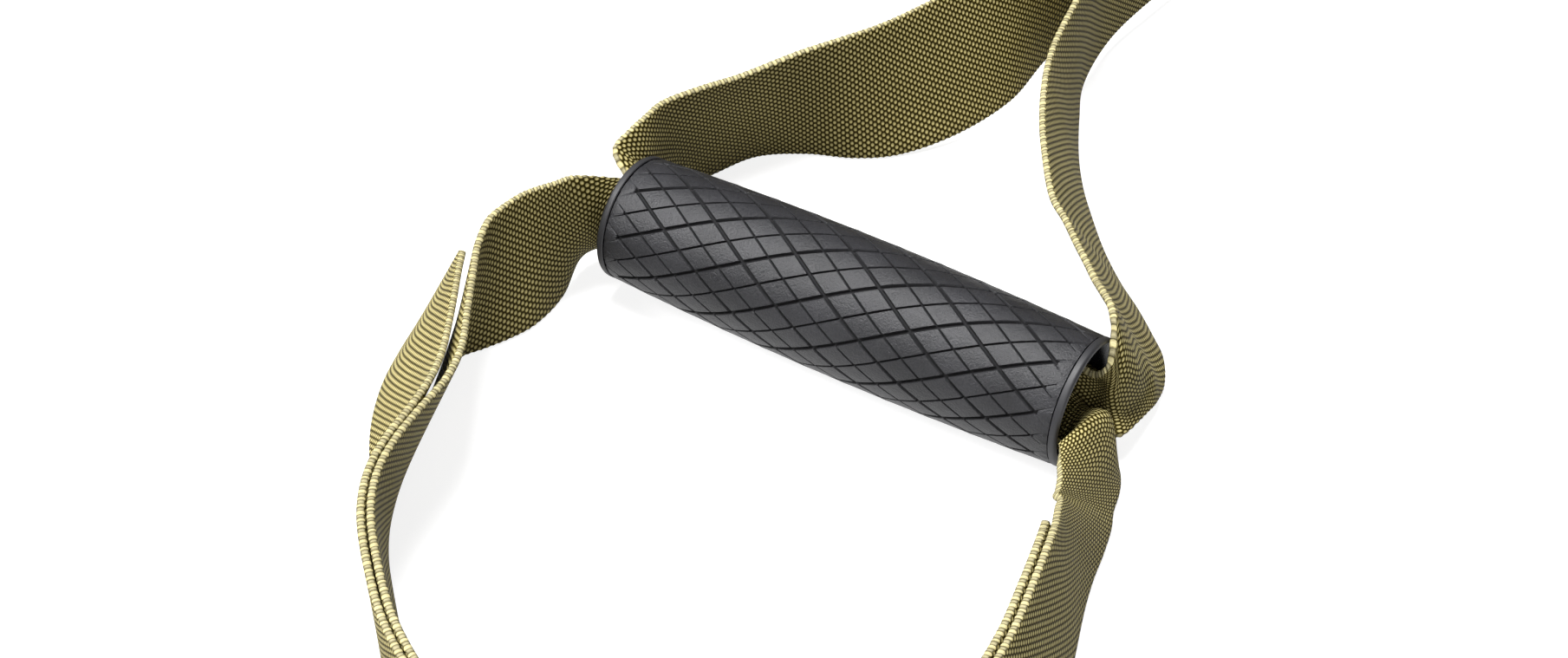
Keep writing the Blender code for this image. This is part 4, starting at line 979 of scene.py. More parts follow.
@dataclass
class Ribbon:
    """A strip of webbing swept smoothly through its stations, with rounded and beaded selvages.

    Attributes:
        name: The piece's name.
        stations: The stations that it follows.
        width: Its width.
        thickness: Its thickness.
        spacing: The distance between its rows.
        closed: Whether it is a closed loop.
        cells: How many faces go across each side.
        round_off: How far the edges' rounding reaches in.
        bead: How far every second row of the edges stands out or in.
        net_points: How many points across each station the smooth curves run through.
        length: The strap's length, known once it is built.
    """

    name: str
    stations: list[Station]
    width: float = 0.038
    thickness: float = 0.0018
    spacing: float = 0.0008
    closed: bool = False
    cells: int = 16
    round_off: float = 0.0006
    bead: float = 0.00013
    net_points: int = 9
    length: float = field(init=False, default=0.0)

    def spread(self, places: np.ndarray, count: int) -> np.ndarray:
        """Weights that read a smooth curve through evenly spaced points.

        Args:
            places: Where the curve is read, from 0 at the first point to 1 at the last.
            count: The number of points.

        Returns:
            One row of weights for each place.
        """
        value = np.clip(places, 0.0, 1.0) * (count - 1)
        low = np.minimum(value.astype(int), count - 2)
        share = value - low
        square, cube = share ** 2, share ** 3
        weights = np.zeros((len(places), count + 2))
        index = np.arange(len(places))
        weights[index, low] += (2 * square - share - cube) / 2
        weights[index, low + 1] += (3 * cube - 5 * square + 2) / 2
        weights[index, low + 2] += (share + 4 * square - 3 * cube) / 2
        weights[index, low + 3] += (cube - square) / 2
        inner = weights[:, 1:-1]
        inner[:, 0] += 2 * weights[:, 0]
        inner[:, 1] -= weights[:, 0]
        inner[:, -1] += 2 * weights[:, -1]
        inner[:, -2] -= weights[:, -1]
        return inner

    def nets(self) -> np.ndarray:
        """Points across each station.

        Returns:
            An array of stations, points from the lower edge to the upper one, and coordinates.
        """
        centre = np.array([item.centre for item in self.stations])
        across = np.array([item.across for item in self.stations])
        run = np.roll(centre, -1, axis=0) - np.roll(centre, 1, axis=0)
        if not self.closed:
            run[0], run[-1] = centre[1] - centre[0], centre[-1] - centre[-2]
        face = np.cross(across, run)
        face /= np.linalg.norm(face, axis=1)[:, None]
        places = np.linspace(-0.5, 0.5, self.net_points)
        nets = np.zeros((len(centre), self.net_points, 3))
        for index, item in enumerate(self.stations):
            if item.shape:
                nets[index] = self.spread(places + 0.5, len(item.shape)) @ np.array(item.shape)
                continue
            bend = max(item.curl, 0.01)
            radius, angle = self.width / bend, (bend * places)[:, None]
            outward = face[index] * radius * (1 - np.cos(angle))
            nets[index] = centre[index] + outward + across[index] * radius * np.sin(angle)
        return nets

    def rows(self) -> np.ndarray:
        """Read smooth curves through the stations.

        Returns:
            The points across each row.
        """
        table = self.nets().reshape(len(self.stations), -1)
        if self.closed:
            table = np.vstack([table[-2:], table, table[:3]])
        middle = table.reshape(len(table), -1, 3).mean(axis=1)
        gaps = np.linalg.norm(np.diff(middle, axis=0), axis=1)
        knots = np.sqrt(np.maximum(gaps, 1e-7))
        slopes = np.diff(table, axis=0) / knots[:, None]
        tangents = np.vstack([slopes[:1], slopes, slopes[-1:]])[:-1]
        weight = knots[:-1, None] + knots[1:, None]
        tangents[1:-1] = (slopes[:-1] * knots[1:, None] + slopes[1:] * knots[:-1, None]) / weight
        first, last = (2, len(table) - 3) if self.closed else (0, len(table) - 1)
        rows = []
        for index in range(first, last):
            count = max(1, round(gaps[index] / self.spacing))
            share = (np.arange(count) / count)[:, None]
            square, cube = share ** 2, share ** 3
            rows.append(table[index] * (2 * cube - 3 * square + 1)
                        + table[index + 1] * (3 * square - 2 * cube)
                        + tangents[index] * knots[index] * (cube - 2 * square + share)
                        + tangents[index + 1] * knots[index] * (cube - square))
        if not self.closed:
            rows.append(table[-1:])
        return np.vstack(rows).reshape(-1, self.net_points, 3)

    def section(self) -> np.ndarray:
        """The outline of the strap's cross-section.

        Returns:
            Pairs of the distance across and the distance from the middle layer, round the section.
        """
        flat, half = self.width / 2 - self.round_off, self.thickness / 2
        upper = [(place, half) for place in np.linspace(-flat, flat, self.cells + 1)]
        angles = np.linspace(math.pi / 2, -math.pi / 2, 7)[1:-1]
        edge = [(flat + self.round_off * math.cos(angle), half * math.sin(angle)) for angle in angles]
        lower = [(-place, -height) for place, height in upper]
        return np.array(upper + edge + lower + [(-place, -height) for place, height in edge])

    def build(self) -> bpy.types.Object:
        """Sweep the section along the rows.

        Returns:
            The strap, with its UV map in metres.
        """
        rows = self.rows()
        count = len(rows)
        centre = rows.mean(axis=1)
        steps = np.linalg.norm(np.diff(centre, axis=0, append=centre[:1]), axis=1)
        run = np.concatenate([[0.0], np.cumsum(steps)])
        self.length = float(run[-1] if self.closed else run[-2])
        outline = self.section()
        ring = len(outline)
        place = outline[:, 0] / self.width + 0.5
        step = 0.02
        middle = np.einsum("rn,snc->src", self.spread(place, self.net_points), rows)
        high = np.einsum("rn,snc->src", self.spread(np.minimum(place + step, 1.0), self.net_points), rows)
        low = np.einsum("rn,snc->src", self.spread(np.maximum(place - step, 0.0), self.net_points), rows)
        across = high - low
        across /= np.linalg.norm(across, axis=2)[..., None]
        if self.closed:
            ahead = np.roll(middle, -1, axis=0) - np.roll(middle, 1, axis=0)
        else:
            ahead = np.gradient(middle, axis=0)
        face = np.cross(across, ahead)
        face /= np.linalg.norm(face, axis=2)[..., None]
        parity = np.where(np.arange(count) % 2 == 0, 1.0, -1.0)[:, None]
        selvage = np.abs(outline[:, 0]) > self.width / 2 - self.round_off * 0.9
        beads = np.where(selvage, np.sign(outline[:, 0]), 0.0)[None, :] * self.bead * parity
        point = middle + face * outline[None, :, 1, None] + across * beads[..., None]
        spans = count if self.closed else count - 1
        start = (np.arange(spans) * ring)[:, None]
        follow = ((np.arange(spans) + 1) % count * ring)[:, None]
        corner = np.arange(ring)[None, :]
        other = (corner + 1) % ring
        quads = np.stack([start + corner, follow + corner, follow + other, start + other], axis=-1)
        faces = [tuple(int(value) for value in quad) for quad in quads.reshape(-1, 4)]
        if not self.closed:
            faces += [tuple(range(ring)), tuple(reversed(range((count - 1) * ring, count * ring)))]
        mesh = bpy.data.meshes.new(self.name)
        mesh.from_pydata(point.reshape(-1, 3).tolist(), [], faces)
        self.map_weave(mesh, outline, run, spans)
        mesh.shade_smooth()
        return placed(self.name, mesh)

    def map_weave(self, mesh: bpy.types.Mesh, outline: np.ndarray, run: np.ndarray, spans: int) -> None:
        """Give the strap a UV map with the distance across and along it, in metres.

        Args:
            mesh: The strap's mesh.
            outline: Its section.
            run: The distance along at each row, and once more past the last.
            spans: The number of spans between rows.
        """
        layer = mesh.uv_layers.new(name="strap")
        ring = len(outline)
        block = np.zeros((spans, ring, 4, 2))
        block[:, :, 0, 0] = block[:, :, 1, 0] = outline[None, :, 0]
        block[:, :, 2, 0] = block[:, :, 3, 0] = np.roll(outline[:, 0], -1)[None, :]
        block[:, :, 0, 1] = block[:, :, 3, 1] = run[:spans, None]
        block[:, :, 1, 1] = block[:, :, 2, 1] = run[1:spans + 1, None]
        flat = block.reshape(-1, 2)
        if not self.closed:
            first = np.stack([outline[:, 0], np.zeros(ring)], axis=1)
            last = np.stack([outline[::-1, 0], np.full(ring, run[spans])], axis=1)
            flat = np.vstack([flat, first, last])
        layer.data.foreach_set("uv", flat.ravel())


@dataclass
class Strap:
    """One strap of the trainer, as a sheet of webbing.

    Attributes:
        node: The solid that it stands for.
        body: The body that it rides on.
        rests_on: What it lies on or hangs from; not used.
        hold: How it is held; not used.
    """

    node: str
    body: str
    rests_on: tuple[str, ...]
    hold: Hold = Hold.LAID

    def dress(self, ribbon: Ribbon, material: bpy.types.Material, turn: Matrix) -> bpy.types.Object:
        """Args:
            ribbon: The ribbon.
            material: Its finish.
            turn: The matrix that places it.

        Returns:
            The finished strap.
        """
        item = ribbon.build()
        item.data.transform(turn)
        item.data.materials.append(material)
        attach(item, self.body)
        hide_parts(self.node)
        LOG.info("%s: %.4f m of webbing, %d faces", self.node, ribbon.length, len(item.data.polygons))
        return item


@dataclass
class Seam:
    """Sewing on a strap's face: a box of stitches, crossed from corner to corner.

    Attributes:
        corner: The box's first corner, on the strap's face.
        run: The unit direction along the strap.
        rise: The unit direction across it.
        normal: The face's outward direction.
        length: The box's length.
        height: Its height.
        spacing: The distance from one stitch to the next.
        stitch: A stitch's length.
        thread: The thread's width.
        proud: How far a stitch stands above the face.
        sides: How many sides a stitch's section has.
    """

    corner: Vector
    run: Vector
    rise: Vector
    normal: Vector
    length: float
    height: float
    spacing: float = 0.0031
    stitch: float = 0.0025
    thread: float = 0.00065
    proud: float = 0.00032
    sides: int = 6

    def lines(self) -> list[tuple[Vector, Vector]]:
        """The box's four sides and its two diagonals.

        Returns:
            Pairs of ends.
        """
        low, far = self.corner, self.corner + self.run * self.length
        high, opposite = low + self.rise * self.height, far + self.rise * self.height
        return [(low, far), (far, opposite), (opposite, high), (high, low), (low, opposite), (high, far)]

    def sew(self, shape: bmesh.types.BMesh) -> None:
        """Add the stitches to a mesh.

        Args:
            shape: The mesh.
        """
        for start, end in self.lines():
            ahead = (end - start).normalized()
            side = self.normal.cross(ahead)
            count = max(1, round((end - start).length / self.spacing))
            for index in range(count):
                middle = start.lerp(end, (index + 0.5) / count)
                self.add_stitch(shape, middle, ahead, side)

    def add_stitch(self, shape: bmesh.types.BMesh, middle: Vector, ahead: Vector, side: Vector) -> None:
        """Add one stitch, a low bead that dips into the webbing at both ends.

        Args:
            shape: The mesh.
            middle: The stitch's place.
            ahead: The direction along it.
            side: The direction across it.
        """
        rings = []
        for place, scale in ((-0.5, 0.35), (-0.3, 0.9), (0.0, 1.0), (0.3, 0.9), (0.5, 0.35)):
            centre = middle + ahead * self.stitch * place + self.normal * self.proud * (scale * 0.5 - 0.35)
            half, tall = side * (self.thread * scale / 2), self.normal * (self.proud * scale)
            angles = [math.tau * turn / self.sides for turn in range(self.sides)]
            rings.append([shape.verts.new(centre + half * math.cos(angle) + tall * math.sin(angle))
                          for angle in angles])
        for first, second in zip(rings, rings[1:]):
            for index in range(self.sides):
                other = (index + 1) % self.sides
                shape.faces.new((first[index], second[index], second[other], first[other]))
        shape.faces.new(rings[0])
        shape.faces.new(rings[-1][::-1])


def sew(name: str, seams: Sequence[Seam], body: str, material: bpy.types.Material, turn: Matrix) -> None:
    """Make a strap's stitching as one piece.

    Args:
        name: The piece's name.
        seams: The seams.
        body: The body that it rides on.
        material: The thread.
        turn: The matrix that places it.
    """
    shape = bmesh.new()
    for seam in seams:
        seam.sew(shape)
    bmesh.ops.recalc_face_normals(shape, faces=shape.faces)
    mesh = bpy.data.meshes.new(name)
    shape.to_mesh(mesh)
    shape.free()
    mesh.transform(turn)
    mesh.shade_smooth()
    mesh.materials.append(material)
    item = placed(name, mesh)
    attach(item, body)
    LOG.info("%s: %d stitched lines", name, sum(len(seam.lines()) for seam in seams))


@dataclass
class HandleStrap:
    """The strap that runs from the link ring through the grip and back."""

    sizes: Trainer

    def stations(self) -> list[Station]:
        """The strap's stations, from its sewn tail to its sewn end.

        Returns:
            The stations.
        """
        size = self.sizes
        neck = size.link_bar - size.apex_along * size.apex_neck + size.apex_left * size.pitch / 2
        start = neck - size.apex_along * size.apex_sewn
        tail = size.standing(start + size.apex_along * size.apex_inset, size.link_lift)
        tail_neck = size.standing(neck, size.link_lift)
        rows = [tail, *between(tail, tail_neck, 3), tail_neck]
        eye = eye_points(size.link_bar, size.apex_along, size.apex_left, size.link_eye, 7)
        rows += [size.standing(point, size.link_lift) for point in eye]
        beside = -size.apex_left * size.pitch
        near_neck = size.standing(neck + beside, size.link_lift)
        near_start = size.standing(start + beside, size.link_lift)
        rows += [near_neck, *between(near_neck, near_start, 3), near_start]
        near_lifts = [size.link_lift * max(1 - index / 4, 0) for index in range(len(NEAR_LEG))]
        far_lifts = near_lifts[:len(FAR_LEG)][::-1]
        rows += [size.rail(row, lift) for row, lift in zip(NEAR_LEG, near_lifts)]
        rows += [size.knuckle(points) for points in KNUCKLE]
        rows += size.bores(95, 105, size.handle_bore_radius, 1, 5, size.mouth_inset)[::-1]
        rows += [size.mouth(row) for row in HANDLE_FAR_MOUTH]
        rows += [size.rail(row, lift) for row, lift in zip(FAR_LEG, far_lifts)]
        above = size.apex_left * size.pitch
        far_start = size.standing(start + above, size.link_lift)
        far_end = size.standing(neck + above - size.apex_along * size.apex_inset, size.link_lift)
        return rows + [far_start, *between(far_start, far_end, 3), far_end]

    def seams(self) -> list[Seam]:
        """The seams on both sides of the sewn neck.

        Returns:
            The seams.
        """
        size, margin = self.sizes, self.sizes.seam_margin
        start = size.link_bar - size.apex_along * (size.apex_neck + size.apex_sewn - margin)
        low = start + UP * (size.link_lift + margin)
        reach, tall = size.apex_sewn - 2 * margin - size.apex_inset, size.webbing_width - 2 * margin
        half_thick = size.webbing_thickness / 2
        upper = size.apex_left * (size.pitch * 1.5 + half_thick)
        lower = -size.apex_left * (size.pitch * 0.5 + half_thick)
        return [Seam(low + upper, size.apex_along, UP, size.apex_left, reach, tall),
                Seam(low + lower, size.apex_along, UP, -size.apex_left, reach, tall)]

    def build(self, half: Half, wardrobe: Wardrobe) -> None:
        """Build and dress the strap.

        Args:
            half: The half that it belongs to.
            wardrobe: The finishes.
        """
        ribbon = Ribbon(f"{half.label}_handle_webbing", self.stations())
        holder = Strap(f"{half.label}_handle_strap", f"{half.label}_handle",
                       (f"{half.label}_link_ring", f"{half.label}_grip_core"))
        holder.dress(ribbon, wardrobe.webbing, half.turn)
        sew(f"{half.label}_handle_stitching", self.seams(), holder.body, wardrobe.thread, half.turn)


@dataclass
class FootCradle:
    """The strap for the foot: two layers round the loop, and one through the grip."""

    sizes: Trainer

    def layer(self, stations: list[Station], shift: float) -> list[Station]:
        """Shift a route level along its faces.

        Args:
            stations: The route.
            shift: The distance.

        Returns:
            The shifted route.
        """
        shifted = []
        last = len(stations) - 1
        for index, item in enumerate(stations):
            run = stations[min(index + 1, last)].centre - stations[max(index - 1, 0)].centre
            face = item.across.cross(run).normalized()
            level = Vector((face.x, face.y, 0))
            centre = item.centre + level * shift / level.length_squared
            shifted.append(Station(centre, item.across, item.curl))
        return shifted

    def stations(self) -> list[Station]:
        """The cradle's stations: inner layer, grip, outer layer and flared end.

        Returns:
            The stations.
        """
        size = self.sizes
        loop = [size.rail(row) for row in NEAR_SIDE + LOOP + FAR_SIDE]
        outer = self.layer(loop, size.pitch / 2)
        inner = self.layer(loop, -size.pitch / 2)
        far_mouth = [size.mouth(row) for row in CRADLE_FAR_MOUTH]
        near_mouth = [size.knuckle(points) for points in CREST] + [size.rail(row) for row in CRADLE_LEG]
        bore = size.bores(-80, -150, size.cradle_bore_radius, -1, 5, size.mouth_inset)
        flared = [size.rail(row) for row in FLARED_END]
        kept = len(NEAR_SIDE) + len(LOOP) - 4
        return inner[3:] + far_mouth + bore + near_mouth + outer[:kept] + flared

    def build(self, half: Half, wardrobe: Wardrobe) -> None:
        """Build and dress the strap.

        Args:
            half: The half that it belongs to.
            wardrobe: The finishes.
        """
        ribbon = Ribbon(f"{half.label}_cradle_webbing", self.stations())
        holder = Strap(f"{half.label}_foot_cradle", f"{half.label}_handle", (f"{half.label}_grip_core",))
        holder.dress(ribbon, wardrobe.webbing, half.turn)


@dataclass
class MainStrap:
    """The long adjustable strap: sewn eye, roll, twist, cam buckle and free end."""

    sizes: Trainer
    turn_points: int = 48

    def roll_pitch(self) -> float:
        """The distance from one turn of the roll to the next one of the same strand."""
        return 2 * (self.sizes.webbing_thickness + self.sizes.roll_gap)

    def roll_centre(self) -> Vector:
        """The middle of the roll."""
        outer = self.sizes.roll_core + self.roll_pitch() * self.sizes.roll_turns
        return Vector((-outer, self.sizes.roll_y, 0))

    def leaving(self) -> tuple[Vector, Vector]:
        """How the strap leaves its sewn eye for the roll.

        Returns:
            The directions along the strap and to its left.
        """
        toward = self.strand(math.pi, math.radians(-90))[-1] - self.sizes.main_bar
        toward = Vector((toward.x, toward.y, 0)).normalized()
        return toward, Vector((-toward.y, toward.x, 0))

    def strand(self, phase: float, end_angle: float) -> list[Vector]:
        """Points of one strand of the roll, from its inner end to where it leaves.

        Args:
            phase: The angle of its inner end.
            end_angle: The angle at which it leaves.

        Returns:
            The points.
        """
        excess = (end_angle - phase) % math.tau
        total = math.tau * self.sizes.roll_turns - excess
        count = int(total / math.tau * self.turn_points + 0.5)
        points = []
        for index in range(count + 1):
            turned = total * index / count
            radius = self.sizes.roll_core + self.roll_pitch() * turned / math.tau
            angle = phase - turned
            points.append(self.roll_centre() + Vector((math.cos(angle), math.sin(angle), 0)) * radius)
        return points

    def heart(self) -> list[Vector]:
        """Points of the fold in the middle of the roll.

        Returns:
            The points, from the left strand's inner end to the right one's.
        """
        half = self.sizes.roll_core / 2
        angles = [math.pi * index / 8 for index in range(1, 8)]
        centre = self.roll_centre()
        arc = [Vector((math.cos(angle), math.sin(angle), 0)) * half for angle in angles]
        first = [centre + Vector((-half - point.x, -point.y, 0)) for point in arc]
        second = [centre + Vector((half - point.x, point.y, 0)) for point in arc]
        return first + [centre] + second

    def twisted(self, share: float, start: Vector, end: Vector, level: float) -> Station:
        """A station between standing on edge and lying flat.

        Args:
            share: How far along the twist it is.
            start: Where the twist starts.
            end: Where it ends.
            level: The strap's lower face in the buckle.

        Returns:
            The station.
        """
        size = self.sizes
        angle = share ** 2 * (3 - 2 * share) * math.pi / 2
        across = UP * math.cos(angle) - Vector((1, 0, 0)) * math.sin(angle)
        rise = (size.webbing_width * math.cos(angle) + size.webbing_thickness * math.sin(angle)) / 2
        point = start.lerp(end, share)
        return Station(Vector((point.x, point.y, rise + level * share)), across)

    def stations(self) -> list[Station]:
        """The strap's stations, from its sewn end to its free one.

        Returns:
            The stations.
        """
        size = self.sizes
        left, right = self.strand(math.pi, math.radians(-90)), self.strand(0, 0)
        toward, side = self.leaving()
        near = size.main_bar + toward * size.apex_neck
        sewn = near + toward * size.main_sewn
        shift = side * size.pitch / 2
        tail = size.standing(sewn + shift, size.link_lift)
        tail_neck = size.standing(near + shift, size.link_lift)
        rows = [tail, *between(tail, tail_neck, 3), tail_neck]
        eye = eye_points(size.main_bar, -toward, side, size.link_eye, 7)
        rows += [size.standing(point, size.link_lift) for point in eye]
        main_neck = size.standing(near - shift, size.link_lift)
        main_sewn = size.standing(sewn - shift, size.link_lift)
        rows += [main_neck, *between(main_neck, main_sewn, 3), main_sewn]
        rows += [size.standing(point) for point in left[::-1] + self.heart() + right]
        anvil = size.buckle_anvil + size.fit_gap
        buckle = size.anchor_bar + size.buckle_strap - size.buckle_inset
        start = Vector((0, size.roll_y - size.webbing_width / 4, 0))
        end = Vector((0, buckle + size.buckle_length, 0))
        rows += [self.twisted(index / 8, start, end, anvil) for index in range(1, 9)]
        return rows + self.tail(buckle, anvil)

    def seams(self) -> list[Seam]:
        """The seams on both sides of the sewn eye.

        Returns:
            The seams.
        """
        size, margin = self.sizes, self.sizes.seam_margin
        toward, side = self.leaving()
        low = size.main_bar + toward * (size.apex_neck + margin / 2) + UP * (size.link_lift + margin)
        reach, tall = size.main_sewn - 1.5 * margin, size.webbing_width - 2 * margin
        out = side * (size.pitch / 2 + size.webbing_thickness / 2)
        return [Seam(low + out * sign, toward, UP, side * sign, reach, tall) for sign in (1, -1)]

    def tail(self, buckle: float, anvil: float) -> list[Station]:
        """The stations in the buckle, over its rear bar and along the free end.

        Args:
            buckle: Where the buckle starts.
            anvil: The height of the strap's lower face on the anvil.

        Returns:
            The stations.
        """
        size = self.sizes
        wire, thick = size.buckle_wire, size.webbing_thickness
        bar_level = wire / 2 + size.fit_gap + thick
        over = bar_level + wire / 2 + 2 * size.fit_gap + thick * 1.5
        rest = 2 * size.pitch + thick / 2
        flat = anvil + thick / 2
        bar = buckle + size.buckle_inset
        profile = [
            (buckle + 0.036, flat), (buckle + 0.020, flat), (bar + 2 * wire, (flat + over) / 2),
            (bar + wire, over - size.fit_gap), (bar, over), (bar - wire, over - size.fit_gap),
            (bar - 2 * wire, (over + rest) / 2), (bar - 3 * wire, rest), (bar - 5 * wire, rest),
            (size.tail_end, rest),
        ]
        return [Station(Vector((0, place, level)), Vector((-1, 0, 0))) for place, level in profile]

    def build(self, half: Half, wardrobe: Wardrobe) -> None:
        """Build and dress the strap.

        Args:
            half: The half that it belongs to.
            wardrobe: The finishes.
        """
        ribbon = Ribbon(f"{half.label}_main_webbing", self.stations(), spacing=0.0012, cells=12)
        rests = (f"{half.label}_link_ring", f"{half.label}_buckle_frame")
        holder = Strap(f"{half.label}_main_strap", "root", rests, Hold.FOLDED)
        holder.dress(ribbon, wardrobe.webbing, half.turn)
        sew(f"{half.label}_main_stitching", self.seams(), "root", wardrobe.thread, half.turn)


@dataclass
class EyedStrap:
    """A short strap sewn into a loop, lying flat between two bars along the Y axis.

    Attributes:
        sizes: The trainer's sizes.
        length: The distance between the bars.
        width: The webbing's width.
        first_wire: The first bar's diameter.
        second_wire: The second bar's diameter.
        seam_margin: The distance from the seam to the webbing's edges.
        seam_gap: The distance from the seam to each neck.
    """

    sizes: Trainer
    length: float
    width: float
    first_wire: float
    second_wire: float
    seam_margin: float = 0.004
    seam_gap: float = 0.001

    def eye(self, wire: float) -> float:
        """The radius of the strap's middle round a bar."""
        return wire / 2 + self.sizes.fit_gap + self.sizes.webbing_thickness / 2

    def leave(self, radius: float, run: float, rise: float) -> float:
        """The angle on an eye where the strap leaves it straight for a point.

        Args:
            radius: The eye's radius.
            run: The point's distance along.
            rise: Its distance up.

        Returns:
            The angle.
        """
        return math.atan2(rise, run) + math.acos(radius / math.hypot(run, rise))

    def stations(self) -> list[Station]:
        """The loop's stations.

        Returns:
            The stations, along +X from the first bar.
        """
        thick = self.sizes.webbing_thickness
        low, high = thick / 2, thick / 2 + self.sizes.pitch
        first, second = self.eye(self.first_wire), self.eye(self.second_wire)
        first_level, second_level = first + thick / 2, second + thick / 2
        neck, far_neck = first * 3, second * 3
        leave = self.leave(first, neck, high - first_level)
        far_leave = math.pi - self.leave(second, far_neck, high - second_level)
        places: list[tuple[float, float]] = []
        for index in range(9):
            angle = -math.pi / 2 - (math.pi * 1.5 - leave) * index / 8
            places.append((first * math.cos(angle), first_level + first * math.sin(angle)))
        places += [(place, high) for place in np.linspace(neck, self.length - far_neck, 5)]
        for index in range(9):
            angle = far_leave - (far_leave + math.pi / 2) * index / 8
            places.append((self.length + second * math.cos(angle), second_level + second * math.sin(angle)))
        places += [(place, low) for place in np.linspace(self.length, 0.0, 8)[1:-1]]
        return [Station(Vector((place, 0, level)), Vector((0, 1, 0))) for place, level in places]

    def build(self, holder: Strap, turn: Matrix, material: bpy.types.Material,
              thread: bpy.types.Material) -> None:
        """Build and dress the strap.

        Args:
            holder: The strap's declaration.
            turn: The matrix that places it.
            material: Its finish.
            thread: The finish of its stitching.
        """
        ribbon = Ribbon(holder.node.replace("strap", "webbing"), self.stations(), width=self.width,
                        closed=True, cells=12)
        holder.dress(ribbon, material, turn)
        margin = self.seam_margin
        start = self.eye(self.first_wire) * 3 + self.seam_gap
        end = self.length - self.eye(self.second_wire) * 3 - self.seam_gap
        level = self.sizes.webbing_thickness + self.sizes.pitch
        corner = Vector((start, margin - self.width / 2, level))
        seam = Seam(corner, Vector((1, 0, 0)), Vector((0, 1, 0)), UP, end - start, self.width - 2 * margin)
        sew(holder.node.replace("strap", "stitching"), [seam], holder.body, thread, turn)


# ----------------------------------------------------------------------------------------------------- grip
@dataclass
class Grip:
    """The grip: a rubber sleeve with two crossing sets of helical grooves, a core and two flared caps.

    Attributes:
        sizes: The trainer's sizes.
        flange: The thickness of a cap's flange.
        wall: The thickness of the core tube and of the caps' spigots.
        spigot: How far a cap's spigot reaches into the sleeve.
        lip: The rounding of a flange's edge.
        flare: How far a cap's funnel opens past the bore, and how deep it is behind the flange.
        starts: How many grooves each set has round the sleeve.
        lead_rows: How many crossings lie between the middle and each end of the grooved part.
        crossing: The distance along the grip between two rows of crossings.
        wide_groove: Half the width of every other groove.
        narrow_groove: Half the width of the grooves between them.
        depth: The depth of the wide grooves.
        pillow: How far the middle of a pad stands out.
        steps: How many steps go round the turned pieces.
    """

    sizes: Trainer
    flange: float = 0.0020
    wall: float = 0.0012
    spigot: float = 0.0083
    lip: float = 0.0009
    flare: float = 0.0026
    starts: int = 16
    lead_rows: int = 10
    crossing: float = 0.00572
    wide_groove: float = 0.00043
    narrow_groove: float = 0.00023
    depth: float = 0.00085
    pillow: float = 0.00010
    steps: int = 72

    def half_sleeve(self) -> float:
        """Half the sleeve's length."""
        return self.sizes.grip_length / 2 - self.flange - self.sizes.fit_gap

    def seat(self) -> Matrix:
        """The place of the grip's own frame, whose Z axis runs along the bore.

        Returns:
            The matrix from that frame to the left half's frame.
        """
        size = self.sizes
        turn = Matrix((size.behind.cross(size.along), size.behind, size.along)).transposed().to_4x4()
        return Matrix.Translation(size.grip_centre) @ turn

    def radius(self, place: float) -> float:
        """The sleeve's outer radius.

        Args:
            place: The distance from the grip's middle.

        Returns:
            The radius.
        """
        half = self.half_sleeve()
        rounding = max(abs(place) - (half - 0.0005), 0.0)
        crown = self.sizes.grip_crown * max(1 - (place / (half - 0.0018)) ** 2, 0.0)
        return self.sizes.grip_end_radius + crown - rounding * 0.5

    def groove_width(self, line: int) -> float:
        """Half the width of a groove: every other one is wide."""
        return self.wide_groove if line % 2 == 0 else self.narrow_groove

    def groove_depth(self, place: float, line_pitch: float) -> float:
        """The depth of one set's grooves.

        Args:
            place: The place across the set, one for each groove.
            line_pitch: The distance between two grooves.

        Returns:
            The depth there.
        """
        nearest = round(place)
        distance = abs(place - nearest) * line_pitch
        half = self.groove_width(nearest)
        share = min(max((half * 1.15 - distance) / (half * 0.6), 0.0), 1.0)
        return self.depth * (0.75 + 0.25 * (half > self.narrow_groove)) * share * share * (3 - 2 * share)

    def lines(self, index: int, line_pitch: float) -> list[float]:
        """The mesh lines across one strip between two grooves.

        Args:
            index: The strip's number.
            line_pitch: The distance between two grooves.

        Returns:
            Places from index up to, and without, the next whole number.
        """
        near = self.groove_width(index) / line_pitch
        far = self.groove_width(index + 1) / line_pitch
        offsets = [0.0, near * 0.55, near * 0.85, near * 1.18, near * 1.18 + 0.06, 0.5,
                   1 - far * 1.18 - 0.06, 1 - far * 1.18, 1 - far * 0.85, 1 - far * 0.55]
        return [index + offset for offset in offsets]

    def skin(self, name: str) -> bpy.types.Object:
        """Loft the grooved skin, its mesh lines laid along the grooves.

        Args:
            name: The piece's name.

        Returns:
            The open skin, which reaches past the sleeve's ends.
        """
        side = math.tau * self.sizes.grip_end_radius / self.starts
        line_pitch = 2 * self.crossing * side / math.hypot(2 * self.crossing, side)
        reach = self.lead_rows + 2
        net_end = self.lead_rows * self.crossing + 0.0006
        places: dict[tuple[int, int], int] = {}
        points: list[tuple[float, float, float]] = []
        faces: list[tuple[int, ...]] = []
        pads: list[float] = []
        grooves: list[float] = []

        def vertex(first: float, second: float) -> int:
            """Find or add a point of the skin.

            Args:
                first: The place across the first set, one for each groove.
                second: The place across the second set.

            Returns:
                The point's number.
            """
            fine = 100000
            key = (round(first * fine), round(second * fine))
            while key[0] >= self.starts * fine:
                key = (key[0] - self.starts * fine, key[1] - self.starts * fine)
            if key not in places:
                place = (first - second) * self.crossing
                angle = (first + second) * math.pi / self.starts
                cut = max(self.groove_depth(first, line_pitch), self.groove_depth(second, line_pitch))
                rise = self.pillow * min(abs(first - round(first)), abs(second - round(second))) * 2
                if abs(place) >= net_end:
                    cut, rise = 0.0, 0.0
                radius = self.radius(place) - cut + rise
                places[key] = len(points)
                points.append((radius * math.cos(angle), radius * math.sin(angle), place))
                grooves.append(min(cut / (self.depth * 0.7), 1.0))
            return places[key]

